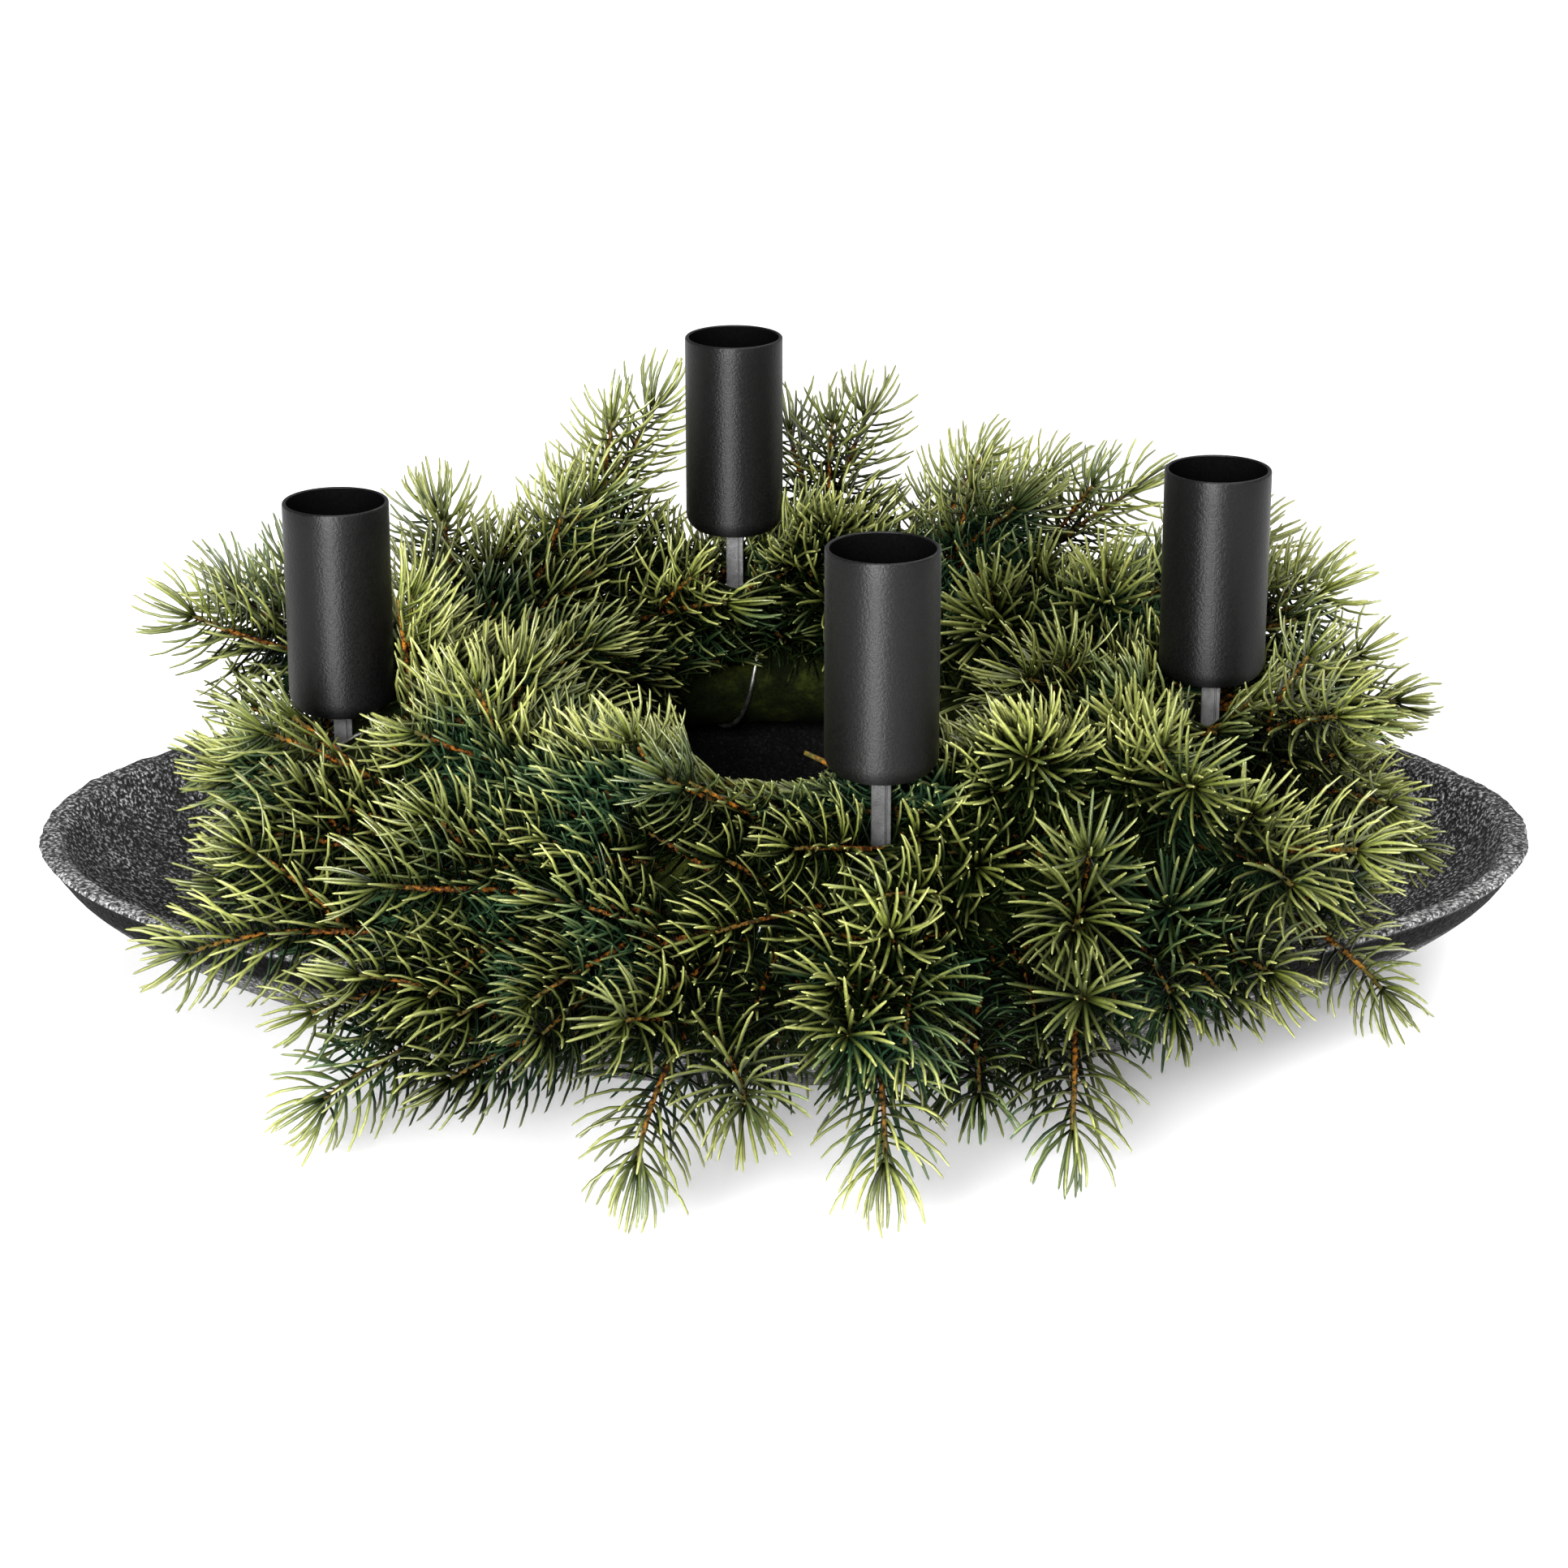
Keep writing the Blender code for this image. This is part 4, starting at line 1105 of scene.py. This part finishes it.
def add_spike(index, cup, made):
    """The folded strip: its wide leaf, the fold's fine groove and the narrow leaf beside it."""
    x, y, _ = cup
    box_low, box_high = (np.array(corner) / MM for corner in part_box(f"spike_{index}"))
    half, deep, sheet, soft, step = SPIKE_WIDTH / 2, SPIKE_DEPTH / 2, SPIKE_SHEET, SPIKE_SOFT, SPIKE_STEP
    g0, g1, g2, g3 = (half - sheet + step + edge for edge in SPIKE_GROOVE_EDGES)
    profile = (
        (-half, soft - deep), (soft - half, -deep), (g0, -deep), (g1, SPIKE_GROOVE - deep),
        (g2, SPIKE_GROOVE - deep), (g3, step - deep), (half - soft, step - deep), (half, step + soft - deep),
        (half, deep), (half - sheet, deep), (half - sheet, sheet - deep), (-half, sheet - deep),
    )
    rings = []
    for z, share in [(box_high[2], 1.0)] + [(box_low[2] + rise, share) for rise, share in SPIKE_POINT]:
        off_x, off_y = half / 2 * (1 - share), deep / 2 * (1 - share)
        rings.append([(x + off_x + u * share, y - off_y + v * share, z) for u, v in profile])
    bm = bmesh.new()
    for end in skin(bm, rings):
        bm.faces.new(end)
    mesh = mesh_from(bm, f"spike_strip_{index}", 25.0)
    add_piece(f"spike_strip_{index}", mesh, [made], "spike_steel", f"spike_{index}")


def grow_stem(foliage, path, radius, tint, length):
    """A main twig with full needles."""
    foliage.twig(path, radius, TWIG_TIP_RADIUS, tint)
    foliage.needles(path, NEEDLE_SPACING, length, NEEDLE_WIDTHS, radius, NEEDLE_TUFT)


def grow_short_twig(foliage, path, radius, tint):
    """A thinner twig with smaller needles."""
    foliage.twig(path, radius, SHORT_TIP_RADIUS, tint)
    foliage.needles(path, SHORT_SPACING, SHORT_LENGTH, SHORT_WIDTHS, radius, SHORT_TUFT)


def grow_sprig(number, sprig):
    """One sprig: its stem, the side twig where the solid has one, and a shorter twig where there is room."""
    foliage = Foliage(SPRIG_SEED + number)
    draw = foliage.draw
    path = stem_path(sprig)
    tint = draw.uniform(0.0, 1.0)
    length = NEEDLE_LENGTH * SHORT_NEEDLES.get(sprig["name"], 1.0)
    grow_stem(foliage, path, TWIG_RADIUS, tint, length)
    if sprig["fork"]:
        side = turned(along(path, FORK_START)[1], 0.0) * sprig["fork"]
        fork = side_path(path, FORK_START, side, sprig["length"] * FORK_LENGTH)
        grow_stem(foliage, fork, FORK_RADIUS, tint, length)
    turn = TWIGLET_TURN + draw.uniform(-TWIGLET_TURN_STRAY, TWIGLET_TURN_STRAY)
    side = turned(along(path, TWIGLET_START)[1], turn)
    reach = sprig["length"] * TWIGLET_SHARE * draw.uniform(*TWIGLET_STRETCH)
    twiglet = side_path(path, TWIGLET_START, side, reach)
    if not blocked(twiglet[ROOT_POINTS:], TWIGLET_CLEARANCE).any():
        grow_short_twig(foliage, twiglet, TWIGLET_RADIUS, tint)
    return foliage


def filler_rules():
    """The rules of all the short twigs, with the groups at the cups' feet."""
    rules = dict(FILLERS)
    for number, (cup_x, cup_y, _) in enumerate(CUP_PLACES, start=1):
        azimuth = math.degrees(math.atan2(cup_y, cup_x))
        rules[f"by_cup_{number}"] = ((azimuth - AT_CUP_HALF, azimuth + AT_CUP_HALF), *AT_CUP)
    return rules


def grow_filler(number, name, rule):
    """A group of short twigs close to the ring, which closes the foliage between the sprigs."""
    foliage = Foliage(FILLER_SEED + number)
    draw = foliage.draw
    (low, high), poloidals, sweeps, pitches, lengths, count = rule
    for k in range(count):
        poloidal = draw.uniform(*poloidals)
        twig = dict(
            azimuth=low + (high - low) * (k + draw.uniform(0.0, 1.0)) / count,
            poloidal=poloidal,
            sweep=draw.uniform(*sweeps),
            pitch=poloidal * RISES.get(name, 0.0) + draw.uniform(*pitches),
            bend=SHORT_BEND,
            length=draw.uniform(*lengths),
        )
        path = stem_path(twig)
        if not blocked(path[ROOT_POINTS:], SHORT_CLEARANCE).any():
            grow_short_twig(foliage, path, SHORT_RADIUS, draw.uniform(0.0, 1.0))
    return foliage


def add_foliage(materials):
    """All the twigs first, so that each needle's shade counts every other needle."""
    grown = []
    for number, sprig in enumerate(sprig_list()):
        grown.append((sprig["name"] + "_foliage", grow_sprig(number, sprig), (sprig["name"],)))
    for number, (name, rule) in enumerate(filler_rules().items()):
        grown.append((f"short_twigs_{name}", grow_filler(number, name, rule), ()))
    canopy = Canopy([foliage for _, foliage, _ in grown])
    for name, foliage, nodes in grown:
        add_piece(name, foliage.mesh(name, canopy), materials, "fir", *nodes)


def add_floor():
    """A wide pale floor under the dish."""
    bm = bmesh.new()
    bmesh.ops.create_grid(bm, x_segments=2, y_segments=2, size=FLOOR_HALF)
    mesh = mesh_from(bm, "floor", 40.0)
    mesh.materials.append(floor_material())
    obj = bpy.data.objects.new("floor", mesh)
    obj.location.z = -FLOOR_DROP * MM
    bpy.context.scene.collection.objects.link(obj)


def add_aimed(name, data, place, target):
    """A light or a camera at a place, aimed at a target."""
    obj = bpy.data.objects.new(name, data)
    bpy.context.scene.collection.objects.link(obj)
    obj.location = Vector(place) * MM
    obj.rotation_euler = (Vector(target) - Vector(place)).normalized().to_track_quat("-Z", "Y").to_euler()
    return obj


def add_lights():
    """Soft studio light: a large box in front on the left, a weak one behind, a wide sun and a pale room."""
    for name, (place, size, watts) in BOX_LIGHTS.items():
        box = bpy.data.lights.new(name, "AREA")
        box.shape = "SQUARE"
        box.size = size * MM
        box.energy = watts
        add_aimed(name, box, place, LIGHT_TARGET)
    sky = bpy.data.lights.new("top_sky", "SUN")
    sky.energy = SKY_STRENGTH
    sky.angle = math.radians(SKY_ANGLE)
    add_aimed("top_sky", sky, SKY_PLACE, LIGHT_TARGET)
    world = bpy.data.worlds.new("pale_room")
    world.use_nodes = True
    background = world.node_tree.nodes["Background"]
    background.inputs["Color"].default_value = (1.0, 1.0, 1.0, 1.0)
    background.inputs["Strength"].default_value = ROOM_STRENGTH
    bpy.context.scene.world = world


def add_camera():
    """The camera, in front and above."""
    data = bpy.data.cameras.new("camera")
    data.lens = CAMERA_LENS
    data.sensor_width = CAMERA_SENSOR
    bpy.context.scene.camera = add_aimed("camera", data, CAMERA_PLACE, CAMERA_TARGET)


add_camera()
add_dish()
add_core()
add_wire()
coat = [coat_material(), shaded_inside_material()]
for number, cup in enumerate(CUP_PLACES, start=1):
    add_cup(number, cup, coat)
for number, (cup, painted_light) in enumerate(zip(CUP_PLACES, SPIKE_PAINTED_LIGHT), start=1):
    add_spike(number, cup, spike_material(number, painted_light))
add_foliage([needle_material(), twig_material()])
add_floor()
add_lights()
bpy.context.scene.view_settings.view_transform = "Standard"
